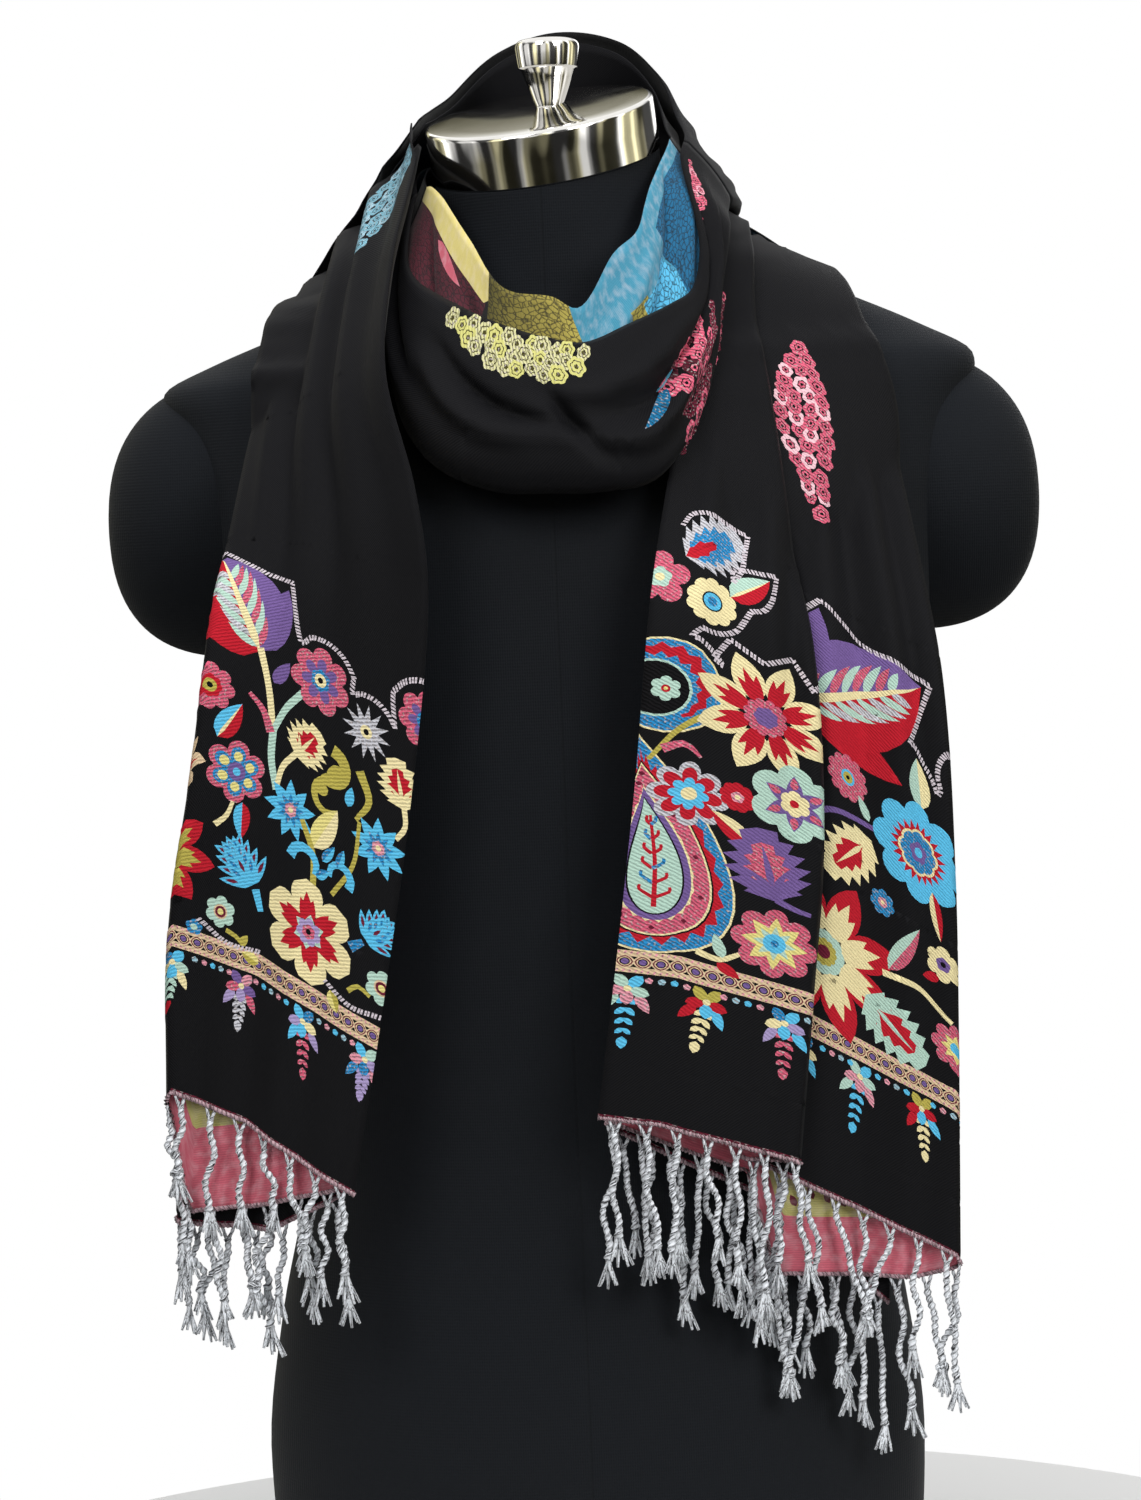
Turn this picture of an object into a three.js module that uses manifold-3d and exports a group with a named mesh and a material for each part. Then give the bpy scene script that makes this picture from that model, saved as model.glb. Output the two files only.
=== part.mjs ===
// A woven stole with fringed ends, wound once round the neck of a limbless dress form.
// Millimetres, +Z up, +X to the right seen from the front, +Y to the back.
// The origin is the middle of the form's flat underside, on which it stands.
//
// The stole is one length of cloth, folded lengthwise with its coloured reverse inside. From its first end it
// goes up the right of the chest (right_tail), behind the neck (inner_loop), across the throat (cowl), behind
// the neck again (outer_loop) and down the left of the chest (left_tail). Each stretch is a thin closed wall.
import * as THREE from "three";
import Module from "manifold-3d";

const wasm = await Module();
wasm.setup();

// ---- driving dimensions ----
const CLOTH = 1.2; // thickness of a cloth wall
const SEAM_GAP = 0.3; // air between two pieces that meet
const FORM_CLEARANCE = 2.3; // from the form to the middle of the nearest layer
const STRAND_PITCH = 16; // distance between fringe strands along the hem
const STRAND_RADIUS = 1.7;
const STRAND_TIP_RADIUS = 2.5; // where the twist has frayed open
const STRAND_SIDES = 3;
const STRAND_SWING = 5; // farthest that a strand's end hangs to one side
const HEADING_HEIGHT = 2.4; // height of the strip that the strands grow from
const NECK_LEVEL = 813.5; // level of the ring where the form's neck ends
const NECK_SLOPE = 0.298; // rise of that ring for each millimetre to the back
const NECK_LEAN = 0.13; // and for each millimetre to the right
const CAP_RADIUS = 61.5;
const CAP_HEIGHT = 28.5;
const CAP_SIDES = 36;
const KNOB_TOP = 879;
const KNOB_SHIFT = 2.5; // to the right of the cap's middle
const KNOB_HEIGHT = 40; // with the foot that the sloping cap cuts
const KNOB_SIDES = 20;

const COLOURS = {
  form: { color: 0x17181b, roughness: 0.85, metalness: 0 },
  chrome: { color: 0xc9c7c2, roughness: 0.12, metalness: 1 },
  cloth: { color: 0x0c0c0e, roughness: 0.8, metalness: 0 },
  fringe: { color: 0x8d9094, roughness: 0.9, metalness: 0 },
};

// ---- small helpers ----
const radians = THREE.MathUtils.degToRad;
const mix = THREE.MathUtils.lerp;
const ease = (t) => THREE.MathUtils.smoothstep(t, 0, 1);

// Smooth interpolation of every named column of a table, by the value of its key column.
function along(table, key, at) {
  const last = table.length - 1;
  let i = 0;
  while (i < last - 1 && at > table[i + 1][key]) i++;
  const rows = [Math.max(i - 1, 0), i, i + 1, Math.min(i + 2, last)].map((k) => table[k]);
  const [k0, k1, k2, k3] = rows.map((row) => row[key]);
  const t = THREE.MathUtils.clamp((at - k1) / (k2 - k1), 0, 1);
  const found = {};
  for (const name of Object.keys(rows[1])) {
    const [p0, p1, p2, p3] = rows.map((row) => row[name]);
    const m1 = k2 > k0 ? ((p2 - p0) / (k2 - k0)) * (k2 - k1) : 0;
    const m2 = k3 > k1 ? ((p3 - p1) / (k3 - k1)) * (k2 - k1) : 0;
    const t2 = t * t;
    const t3 = t2 * t;
    found[name] =
      (2 * t3 - 3 * t2 + 1) * p1 + (t3 - 2 * t2 + t) * m1 + (3 * t2 - 2 * t3) * p2 + (t3 - t2) * m2;
  }
  return found;
}

// A closed mesh through rings of points, with a flat fan on each end.
function loft(rings) {
  const n = rings[0].length;
  const middle = (ring) => ring.reduce((sum, p) => sum.add(p), new THREE.Vector3()).divideScalar(n);
  const points = [...rings.flat(), middle(rings[0]), middle(rings[rings.length - 1])];
  const index = [];
  for (let i = 0; i + 1 < rings.length; i++)
    for (let j = 0; j < n; j++) {
      const a = i * n + j;
      const b = i * n + ((j + 1) % n);
      index.push(a, b, b + n, a, b + n, a + n);
    }
  const top = (rings.length - 1) * n;
  for (let j = 0; j < n; j++) {
    const next = (j + 1) % n;
    index.push(next, j, points.length - 2, top + j, top + next, points.length - 1);
  }
  return new THREE.BufferGeometry().setFromPoints(points).setIndex(index);
}

// A wall of the given thickness round a grid of points, grid[row][column], closed along its four edges. Each of
// its squares is split along the shorter diagonal, so that layers which lie on each other bend alike.
function wall(grid, thickness) {
  const rows = grid.length;
  const columns = grid[0].length;
  const side = (sign) => (i, j) => {
    const down = grid[Math.max(i - 1, 0)][j];
    const up = grid[Math.min(i + 1, rows - 1)][j];
    const left = grid[i][Math.max(j - 1, 0)];
    const right = grid[i][Math.min(j + 1, columns - 1)];
    const normal = up.clone().sub(down).cross(right.clone().sub(left)).normalize();
    return grid[i][j].clone().addScaledVector(normal, (sign * thickness) / 2);
  };
  const points = [];
  for (const sign of [1, -1])
    for (let i = 0; i < rows; i++) for (let j = 0; j < columns; j++) points.push(side(sign)(i, j));
  const front = (i, j) => i * columns + j;
  const back = (i, j) => rows * columns + front(i, j);
  const index = [];
  const quad = (a, b, c, d) => index.push(a, b, c, a, c, d);
  for (let i = 0; i + 1 < rows; i++)
    for (let j = 0; j + 1 < columns; j++) {
      const corners = [[i, j], [i + 1, j], [i + 1, j + 1], [i, j + 1]];
      const [a, b, c, d] = corners.map(([row, column]) => grid[row][column]);
      if (a.distanceTo(c) > b.distanceTo(d)) corners.push(corners.shift());
      const [p, q, r, s] = corners;
      quad(front(...p), front(...q), front(...r), front(...s));
      quad(back(...p), back(...s), back(...r), back(...q));
    }
  for (let i = 0; i + 1 < rows; i++) {
    quad(front(i, 0), back(i, 0), back(i + 1, 0), front(i + 1, 0));
    quad(front(i, columns - 1), front(i + 1, columns - 1), back(i + 1, columns - 1), back(i, columns - 1));
  }
  for (let j = 0; j + 1 < columns; j++) {
    quad(front(0, j), front(0, j + 1), back(0, j + 1), back(0, j));
    quad(front(rows - 1, j), back(rows - 1, j), back(rows - 1, j + 1), front(rows - 1, j + 1));
  }
  return new THREE.BufferGeometry().setFromPoints(points).setIndex(index);
}

// ---- dress form ----
// A row for each level of the torso: half width, half depth, middle of the depth, shift to the right,
// squareness of the outline, and the rise of the level's ring towards the back.
const TORSO = [
  { level: 0, width: 168, depth: 120, middle: 4, shift: 0, square: 2.4, slope: 0 },
  { level: 130, width: 177, depth: 126, middle: 4, shift: 0, square: 2.4, slope: 0 },
  { level: 200, width: 169, depth: 120, middle: 3, shift: 1, square: 2.35, slope: 0 },
  { level: 300, width: 151, depth: 108, middle: 0, shift: 3, square: 2.3, slope: 0 },
  { level: 420, width: 162, depth: 114, middle: 0, shift: 5, square: 2.4, slope: 0 },
  { level: 540, width: 184, depth: 122, middle: 4, shift: 6, square: 2.5, slope: 0 },
  { level: 620, width: 197, depth: 117, middle: 6, shift: 7, square: 2.5, slope: 0 },
  { level: 675, width: 210, depth: 100, middle: 9, shift: 7, square: 2.4, slope: 0.01 },
  { level: 702, width: 217, depth: 86, middle: 10, shift: 7, square: 2.3, slope: 0.03 },
  { level: 717, width: 190, depth: 77, middle: 11, shift: 6, square: 2.2, slope: 0.05 },
  { level: 734, width: 149, depth: 71, middle: 10, shift: 5, square: 2.1, slope: 0.09 },
  { level: 750, width: 111, depth: 67, middle: 8, shift: 4, square: 2.05, slope: 0.14 },
  { level: 764, width: 84, depth: 65, middle: 6, shift: 3, square: 2, slope: 0.19 },
  { level: 780, width: 68, depth: 62, middle: 3, shift: 2, square: 2, slope: 0.25 },
  { level: 798, width: 61, depth: 60, middle: 1, shift: 1, square: 2, slope: 0.29 },
  { level: NECK_LEVEL, width: 60, depth: 58.5, middle: 0, shift: 0, square: 2, slope: NECK_SLOPE },
];
const TORSO_LEVELS = [0, 60, 130, 200, 260, 330, 400, 470, 540, 600, 650, 680, 698];
const YOKE_RINGS = 13; // rings between the last of those levels and the neck, where the outline turns
const TORSO_SIDES = 32;

function rise(row, x, y) {
  return row.slope * (y + (x * NECK_LEAN) / NECK_SLOPE);
}

function torsoRing(level, grow) {
  const row = along(TORSO, "level", level);
  return Array.from({ length: TORSO_SIDES }, (_, k) => {
    const turn = (2 * Math.PI * k) / TORSO_SIDES;
    const rounded = (v) => Math.sign(v) * Math.abs(v) ** (2 / row.square);
    const x = row.shift + (row.width + grow) * rounded(Math.cos(turn));
    const y = row.middle + (row.depth + grow) * rounded(Math.sin(turn));
    return new THREE.Vector3(x, y, level + rise(row, x, y));
  });
}

function torso(grow = 0) {
  const shoulder = TORSO_LEVELS[TORSO_LEVELS.length - 1];
  const yoke = Array.from({ length: YOKE_RINGS }, (_, k) => mix(shoulder, NECK_LEVEL, (k + 1) / YOKE_RINGS));
  return loft([...TORSO_LEVELS, ...yoke].map((level) => torsoRing(level, grow)));
}

// Distance from the torso's surface, near enough where it is small.
function torsoDistance(point) {
  const excess = (p) => {
    let level = p.z;
    for (let k = 0; k < 4; k++) level = p.z - rise(along(TORSO, "level", level), p.x, p.y);
    const row = along(TORSO, "level", level);
    const x = Math.abs((p.x - row.shift) / row.width) ** row.square;
    const y = Math.abs((p.y - row.middle) / row.depth) ** row.square;
    return (x + y) ** (1 / row.square) - 1;
  };
  const step = 0.5;
  const here = excess(point);
  const slope = new THREE.Vector3(
    excess(point.clone().setX(point.x + step)) - here,
    excess(point.clone().setY(point.y + step)) - here,
    excess(point.clone().setZ(point.z + step)) - here,
  ).divideScalar(step);
  return { distance: here / slope.length(), outwards: slope.normalize() };
}

// Moves a point of the cloth outwards until it has this clearance from the torso.
function restOnTorso(point, clearance) {
  for (let k = 0; k < 6; k++) {
    const { distance, outwards } = torsoDistance(point);
    if (distance >= clearance) break;
    point.addScaledVector(outwards, clearance - distance);
  }
  return point;
}

// The padded, rounded cap that closes each armhole. It starts inside the torso, which cuts it.
const ARM_CAP = { x: 172, shift: 7, y: 10, z: 634, reach: 78, depth: 60, height: 76, square: 2.5, droop: 6 };
const ARM_CAP_SIDES = 20;
const ARM_CAP_RINGS = 7;
const ARM_CAP_TIP = 0.4; // share of a ring's step left flat at the tip
const ARM_CAP_GAP = 0.42; // measured level, it leaves the seam gap across the torso's slope

function solidOf(geometry) {
  const vertProperties = new Float32Array(geometry.getAttribute("position").array);
  return new wasm.Manifold(
    new wasm.Mesh({ numProp: 3, vertProperties, triVerts: new Uint32Array(geometry.index.array) }),
  );
}

function geometryOf(solid) {
  const { vertProperties, triVerts } = solid.getMesh();
  return new THREE.BufferGeometry()
    .setAttribute("position", new THREE.BufferAttribute(vertProperties, 3))
    .setIndex(new THREE.BufferAttribute(triVerts, 1));
}

function armCap(side) {
  const { x, shift, y, z, reach, depth, height, square, droop } = ARM_CAP;
  const rings = Array.from({ length: ARM_CAP_RINGS }, (_, i) => {
    const out = Math.sin((Math.PI / 2) * (i / (ARM_CAP_RINGS - 1 + ARM_CAP_TIP)));
    const round = (1 - out ** square) ** (1 / square);
    return Array.from({ length: ARM_CAP_SIDES }, (_, k) => {
      const turn = (side * 2 * Math.PI * k) / ARM_CAP_SIDES;
      return new THREE.Vector3(
        shift + side * (x + reach * out),
        y + depth * round * Math.cos(turn),
        z + height * round * Math.sin(turn) - droop * out,
      );
    });
  });
  return geometryOf(solidOf(loft(rings)).subtract(solidOf(torso(ARM_CAP_GAP))));
}

// ---- metal neck cap, set square on the sloping neck, and its upright knob ----
function turned(profile, sides) {
  const ring = ([radius, height]) =>
    Array.from({ length: sides }, (_, k) => {
      const turn = (2 * Math.PI * k) / sides;
      return new THREE.Vector3(radius * Math.cos(turn), radius * Math.sin(turn), height);
    });
  return loft(profile.map(ring));
}

const neckUp = new THREE.Vector3(-NECK_LEAN, -NECK_SLOPE, 1).normalize();

function neckCap() {
  const edge = 2.2;
  const r = CAP_RADIUS;
  const h = CAP_HEIGHT;
  const geometry = turned(
    [
      [r - 1, 0],
      [r, 1],
      [r, h - edge],
      [r - edge * 0.3, h - edge * 0.3],
      [r - edge, h],
      [r * 0.5, h + 0.6],
      [9, h + 0.8],
    ],
    CAP_SIDES,
  );
  geometry.applyQuaternion(new THREE.Quaternion().setFromUnitVectors(new THREE.Vector3(0, 0, 1), neckUp));
  return geometry.translate(0, 0, NECK_LEVEL + SEAM_GAP);
}

function knob(cap) {
  const h = KNOB_HEIGHT;
  const geometry = turned(
    [
      [9.5, 0],
      [8, 4],
      [6.6, 9],
      [6.4, 12],
      [8, h * 0.44],
      [11, h * 0.58],
      [14.5, h * 0.7],
      [16.4, h * 0.76],
      [17, h * 0.79],
      [17, h - 2],
      [16, h - 0.4],
      [12, h],
    ],
    KNOB_SIDES,
  );
  geometry.translate(KNOB_SHIFT, 0, KNOB_TOP - h);
  const seat = cap.clone().translate(0, 0, SEAM_GAP / neckUp.z);
  return geometryOf(solidOf(geometry).subtract(solidOf(seat)));
}

// ---- bands of folded cloth ----
// The runs of a band's section: the cloth lies in layers between its neck-side edge (0) and its fold (1).
// The first run is the outermost layer. drop says how far the layer's end hangs below the line from edge to
// fold, at places along the run. PLEAT is where the right tail's pleat lies in the runs.
const PLEAT = 0.55;
const LEFT_RUNS = [
  { from: 0, to: 1, at: [0, 0.6, 1], drop: [0, -5, 0] },
  { from: 1, to: 0.1, at: [0, 0.14, 0.5, 1], drop: [14, 66, 42, 3] },
  { from: 0.1, to: 0.92, at: [0, 0.4, 1], drop: [8, 46, 74] },
  { from: 0.92, to: 0.4, at: [0, 1], drop: [70, 30] },
];
const RIGHT_RUNS = [
  { from: 0, to: PLEAT, at: [0, 0.3, 1], drop: [0, -9, -17] },
  { from: PLEAT, to: 0.42, at: [0, 1], drop: [-16, -8] },
  { from: 0.42, to: 1, at: [0, 1], drop: [-8, 0] },
  { from: 1, to: 0.05, at: [0, 0.1, 0.5, 0.6, 1], drop: [8, 20, 46, 12, 5] },
  { from: 0.05, to: 0.84, at: [0, 0.5, 1], drop: [8, 14, 40] },
];

// A row for each section up a tail, from the hem: x, y and z of the neck-side edge (e) and of the fold (f),
// the gap between layers, the depth of the soft waves, where the pleat lies, and how far the middle bulges.
const LEFT_TAIL = [
  { s: 0, ex: -117, ey: -143, ez: 289, fx: -208, fy: -136, fz: 343, gap: 6.4, wave: 5 },
  { s: 100, ex: -98, ey: -144, ez: 386, fx: -203, fy: -138, fz: 425, gap: 6, wave: 4.5 },
  { s: 200, ex: -80, ey: -148, ez: 486, fx: -188, fy: -142, fz: 503, gap: 5.4, wave: 4 },
  { s: 300, ex: -67, ey: -153, ez: 585, fx: -175, fy: -137, fz: 582, gap: 4.8, wave: 3 },
  { s: 360, ex: -71, ey: -151, ez: 640, fx: -166, fy: -116, fz: 622, gap: 4.2, wave: 2.4 },
  { s: 420, ex: -84, ey: -131, ez: 700, fx: -157, fy: -82, fz: 668, gap: 3.6, wave: 2 },
  { s: 480, ex: -80, ey: -84, ez: 760, fx: -148, fy: -44, fz: 708, gap: 3.2, wave: 1.5 },
  { s: 530, ex: -71, ey: -40, ez: 803, fx: -143, fy: -14, fz: 731, gap: 3, wave: 1 },
  { s: 580, ex: -65, ey: 8, ez: 839, fx: -141, fy: 18, fz: 739, gap: 3, wave: 0.6 },
];
const RIGHT_TAIL = [
  { s: 0, ex: 6, ey: -148, ez: 324, fx: 187, fy: -134, fz: 241, gap: 6.4, wave: 5, pleat: 0.54, crown: 0 },
  { s: 100, ex: 18, ey: -149, ez: 400, fx: 189, fy: -136, fz: 340, gap: 6, wave: 4.5, pleat: 0.56, crown: 0 },
  { s: 200, ex: 31, ey: -150, ez: 490, fx: 190, fy: -138, fz: 440, gap: 5.4, wave: 4, pleat: 0.58, crown: 0 },
  { s: 300, ex: 42, ey: -149, ez: 580, fx: 188, fy: -132, fz: 540, gap: 4.8, wave: 3, pleat: 0.55, crown: 0 },
  { s: 370, ex: 54, ey: -125, ez: 640, fx: 180, fy: -108, fz: 610, gap: 4.6, wave: 2, pleat: 0.47, crown: 0 },
  { s: 440, ex: 68, ey: -90, ez: 698, fx: 172, fy: -70, fz: 670, gap: 4.2, wave: 2, pleat: 0.36, crown: 2 },
  { s: 500, ex: 74, ey: -46, ez: 746, fx: 160, fy: -48, fz: 714, gap: 3.8, wave: 1.4, pleat: 0.3, crown: 5 },
  { s: 550, ex: 80, ey: -18, ez: 768, fx: 151, fy: -10, fz: 741, gap: 3.4, wave: 0.9, pleat: 0.28, crown: 8 },
  { s: 590, ex: 84, ey: 13, ez: 783, fx: 145, fy: 26, fz: 748, gap: 3.4, wave: 0.5, pleat: 0.28, crown: 9 },
];
const DROP_FADES_BY = 230; // how far up a tail the uneven hems are felt
const LAYER_PITCH = 3.3; // least distance between layers, where they lie on the form
const WAVES = { across: 5.2, up: 0.004, start: 0.6 }; // phase in radians, across a tail and per mm up it
// Where a tail has its sections, as shares of its length from the hem: closest where it rounds the shoulder.
const TAIL_SECTIONS = [
  0, 0.09, 0.18, 0.27, 0.36, 0.44, 0.51, 0.57, 0.62, 0.66, 0.7, 0.74, 0.78, 0.82, 0.86, 0.9, 0.95, 1,
];

// The columns of a band's section: place across (0 to 1), level, and how far a turn bulges, in half spacings.
const RUN_STEPS = 7; // steps of a run as wide as the band
const TURN_STEPS = 3;

function hemDrop(run, at) {
  const k = Math.max(1, run.at.findIndex((place) => place >= at));
  return mix(run.drop[k - 1], run.drop[k], (at - run.at[k - 1]) / (run.at[k] - run.at[k - 1]));
}

function sectionColumns(runs) {
  const columns = [];
  runs.forEach((run, level) => {
    const steps = Math.max(2, Math.round(RUN_STEPS * Math.abs(run.to - run.from)));
    for (let k = 0; k <= steps; k++) {
      const t = k / steps;
      columns.push({ across: mix(run.from, run.to, t), level, bulge: 0, drop: hemDrop(run, t) });
    }
    const next = runs[level + 1];
    for (let k = 1; next && k < TURN_STEPS; k++) {
      const bend = (Math.PI * k) / TURN_STEPS;
      columns.push({
        across: run.to,
        level: level + (1 - Math.cos(bend)) / 2,
        bulge: Math.sin(bend) * Math.sign(run.to - run.from),
        drop: mix(hemDrop(run, 1), hemDrop(next, 0), k / TURN_STEPS),
      });
    }
  });
  return columns;
}

const PATH_STEP = 4; // along the tail, to find which way it runs

// The point of a tail at a path position and a column of its section.
function tailPoint(tail, s, column) {
  const { table, runs, side } = tail;
  const last = table[table.length - 1].s;
  const row = along(table, "s", s);
  const { pleat = PLEAT, crown = 0 } = row;
  const ahead = along(table, "s", Math.min(s + PATH_STEP, last));
  const behind = along(table, "s", Math.max(s - PATH_STEP, 0));
  const edge = new THREE.Vector3(row.ex, row.ey, row.ez);
  const fold = new THREE.Vector3(row.fx, row.fy, row.fz);
  const path = new THREE.Vector3(ahead.ex - behind.ex, ahead.ey - behind.ey, ahead.ez - behind.ez)
    .add(new THREE.Vector3(ahead.fx - behind.fx, ahead.fy - behind.fy, ahead.fz - behind.fz))
    .normalize();
  const across = fold.clone().sub(edge).normalize();
  const outwards = path.clone().cross(across).multiplyScalar(side).normalize();
  const felt = 1 - ease(Math.min(s / DROP_FADES_BY, 1));
  const wave = row.wave * Math.sin(WAVES.start + WAVES.across * column.across + WAVES.up * s);
  const place =
    column.across < PLEAT
      ? (column.across / PLEAT) * pleat
      : pleat + ((column.across - PLEAT) / (1 - PLEAT)) * (1 - pleat);
  const point = edge
    .lerp(fold, place)
    .addScaledVector(across, (column.bulge * row.gap) / 2)
    .addScaledVector(outwards, wave + crown * Math.sin(Math.PI * place) - column.level * row.gap)
    .addScaledVector(path, -column.drop * felt);
  const layersBelow = runs.length - 1 - column.level;
  return restOnTorso(point, FORM_CLEARANCE + layersBelow * LAYER_PITCH);
}

function tailGrid(tail) {
  const columns = sectionColumns(tail.runs);
  const last = tail.table[tail.table.length - 1].s;
  return TAIL_SECTIONS.map((share) => columns.map((column) => tailPoint(tail, last * share, column)));
}

const LEFT = { table: LEFT_TAIL, runs: LEFT_RUNS, side: 1, strand: 57 };
const RIGHT = { table: RIGHT_TAIL, runs: RIGHT_RUNS, side: -1, strand: 72 };

// ---- the three stretches round the neck ----
// A row for each section, at an angle round the neck from the front towards the right: radius and height of
// the inner edge, of the rim (the outer edge) and of the fold below them, and the width of the fold's turn.
const INNER_LOOP = [
  { angle: 102, ir: 85, iz: 788, rr: 93, rz: 787, fr: 148, fz: 745, gap: 8 },
  { angle: 130, ir: 76, iz: 808, rr: 81, rz: 807, fr: 125, fz: 747, gap: 6 },
  { angle: 155, ir: 69, iz: 833, rr: 73, rz: 834, fr: 103, fz: 750, gap: 5 },
  { angle: 180, ir: 67, iz: 845, rr: 71, rz: 846, fr: 95, fz: 750, gap: 5 },
  { angle: 205, ir: 66, iz: 837, rr: 71, rz: 838, fr: 92, fz: 754, gap: 5 },
  { angle: 235, ir: 66, iz: 821, rr: 71, rz: 820, fr: 94, fz: 762, gap: 5 },
  { angle: 262, ir: 65, iz: 813, rr: 71, rz: 811, fr: 90, fz: 766, gap: 5 },
  { angle: 285, ir: 66, iz: 802, rr: 73, rz: 798, fr: 89, fz: 762, gap: 5 },
];
const COWL = [
  { angle: -75, ir: 66, iz: 802, rr: 73, rz: 798, fr: 89, fz: 762, gap: 5 },
  { angle: -62, ir: 68, iz: 800, rr: 84, rz: 781, fr: 99, fz: 742, gap: 5 },
  { angle: -48, ir: 71, iz: 790, rr: 101, rz: 754, fr: 116, fz: 706, gap: 7 },
  { angle: -30, ir: 81, iz: 768, rr: 115, rz: 735, fr: 142, fz: 656, gap: 14 },
  { angle: -15, ir: 95, iz: 742, rr: 119, rz: 721, fr: 145, fz: 637, gap: 18 },
  { angle: 0, ir: 99, iz: 736, rr: 122, rz: 711, fr: 146, fz: 634, gap: 18 },
  { angle: 8, ir: 100, iz: 730, rr: 123, rz: 709, fr: 147, fz: 634, gap: 16 },
  { angle: 20, ir: 92, iz: 757, rr: 122, rz: 719, fr: 146, fz: 640, gap: 10 },
  { angle: 31, ir: 86, iz: 769, rr: 120, rz: 729, fr: 139, fz: 668, gap: 6 },
  { angle: 40, ir: 77, iz: 784, rr: 115, rz: 738, fr: 129, fz: 701, gap: 6 },
  { angle: 48, ir: 72, iz: 796, rr: 106, rz: 759, fr: 117, fz: 731, gap: 6 },
  { angle: 60, ir: 67, iz: 806, rr: 86, rz: 791, fr: 108, fz: 764, gap: 6 },
  { angle: 72, ir: 66, iz: 816, rr: 76, rz: 811, fr: 99, fz: 776, gap: 6 },
  { angle: 82, ir: 66, iz: 823, rr: 76, rz: 820, fr: 97, fz: 785, gap: 6 },
];
const OUTER_LOOP = [
  { angle: 82, ir: 66, iz: 823, rr: 76, rz: 820, fr: 97, fz: 785, gap: 6 },
  { angle: 110, ir: 69, iz: 832, rr: 78, rz: 837, fr: 110, fz: 783, gap: 6 },
  { angle: 129, ir: 76, iz: 857, rr: 84, rz: 862, fr: 119, fz: 770, gap: 7 },
  { angle: 150, ir: 80, iz: 880, rr: 88, rz: 885, fr: 119, fz: 754, gap: 7 },
  { angle: 174, ir: 79, iz: 888, rr: 87, rz: 893, fr: 114, fz: 745, gap: 7 },
  { angle: 198, ir: 71, iz: 878, rr: 79, rz: 882, fr: 112, fz: 743, gap: 7 },
  { angle: 227, ir: 65, iz: 853, rr: 70, rz: 857, fr: 122, fz: 743, gap: 7 },
  { angle: 245, ir: 65, iz: 843, rr: 69, rz: 847, fr: 134, fz: 741, gap: 6 },
  { angle: 262, ir: 65, iz: 838, rr: 68, rz: 841, fr: 141, fz: 739, gap: 5 },
];

// Soft troughs and ridges of the outer layers: an ellipse at an angle and a share of the height, and a depth.
const COWL_FOLDS = [
  { angle: -8, up: 0.32, wide: 9, tall: 0.13, depth: -7 },
  { angle: 12, up: 0.42, wide: 7, tall: 0.2, depth: -9 },
  { angle: 22, up: 0.3, wide: 9, tall: 0.12, depth: 6 },
  { angle: -26, up: 0.45, wide: 10, tall: 0.16, depth: 5 },
  { angle: 2, up: 0.12, wide: 14, tall: 0.1, depth: 5 },
];

const INNER_FOLDS = [
  { angle: 150, up: 0.35, wide: 40, tall: 0.16, depth: -3 },
  { angle: 215, up: 0.5, wide: 45, tall: 0.16, depth: 1.5 },
];
const OUTER_FOLDS = [
  { angle: 98, up: 0.35, wide: 14, tall: 0.15, depth: 4 },
  { angle: 120, up: 0.62, wide: 30, tall: 0.13, depth: -5 },
  { angle: 138, up: 0.3, wide: 26, tall: 0.13, depth: 5 },
  { angle: 172, up: 0.45, wide: 34, tall: 0.12, depth: -5 },
  { angle: 190, up: 0.74, wide: 36, tall: 0.12, depth: 5 },
  { angle: 214, up: 0.27, wide: 30, tall: 0.12, depth: -6 },
  { angle: 238, up: 0.55, wide: 24, tall: 0.14, depth: -5 },
];

const STRETCH_GAP = 0.25; // degrees left off each end of a stretch, for the gap to the next one
const SECTION_TURN = 8; // degrees from one section to the next
const INNER_STEPS = 4;
const OUTER_STEPS = 7;

// How far the folds move both layers outwards at an angle and a share of the height.
function relief(folds, angle, up) {
  return folds.reduce((sum, fold) => {
    const a = (angle - fold.angle) / fold.wide;
    const b = (up - fold.up) / fold.tall;
    return sum + fold.depth * Math.exp(-a * a - b * b);
  }, 0);
}

// A section of the wrap in radius and height: down the inner layer, round the fold, up to the rim, and tucked
// in. The layers belly and the lip turns in by shares of the fold's width.
function wrapSection(row, angle, folds) {
  const points = [];
  const gap = row.gap;
  const put = (radius, height, lift) => points.push({ radius, height, lift });
  for (let k = 0; k <= INNER_STEPS; k++) {
    const t = k / INNER_STEPS;
    const sag = Math.sin(Math.PI * t) * gap * 0.25;
    put(mix(row.ir, row.fr - gap, t) - sag + relief(folds, angle, 1 - t), mix(row.iz, row.fz + gap, t), 0);
  }
  for (const bend of [50, 100, 150]) {
    const a = radians(bend);
    const lift = (LAYER_PITCH * (1 - Math.cos(a))) / 2;
    put(row.fr - gap / 2 - (gap / 2) * Math.cos(a), row.fz + gap * (1 - 0.9 * Math.sin(a)), lift);
  }
  for (let k = 0; k <= OUTER_STEPS; k++) {
    const t = k / OUTER_STEPS;
    const bulge = Math.sin(Math.PI * t) * gap * 0.3;
    put(mix(row.fr, row.rr, t) + bulge + relief(folds, angle, t), mix(row.fz + gap, row.rz, t), LAYER_PITCH);
  }
  const room = row.rr - mix(row.ir, row.fr - gap, Math.max(0, row.iz - row.rz) / (row.iz - row.fz - gap));
  const lip = Math.min(gap * 0.3, room * 0.25);
  put(row.rr - lip * 0.6, row.rz + lip * 0.7, LAYER_PITCH);
  put(row.rr - lip * 1.7, row.rz + lip * 0.3, LAYER_PITCH);
  return points;
}

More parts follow.
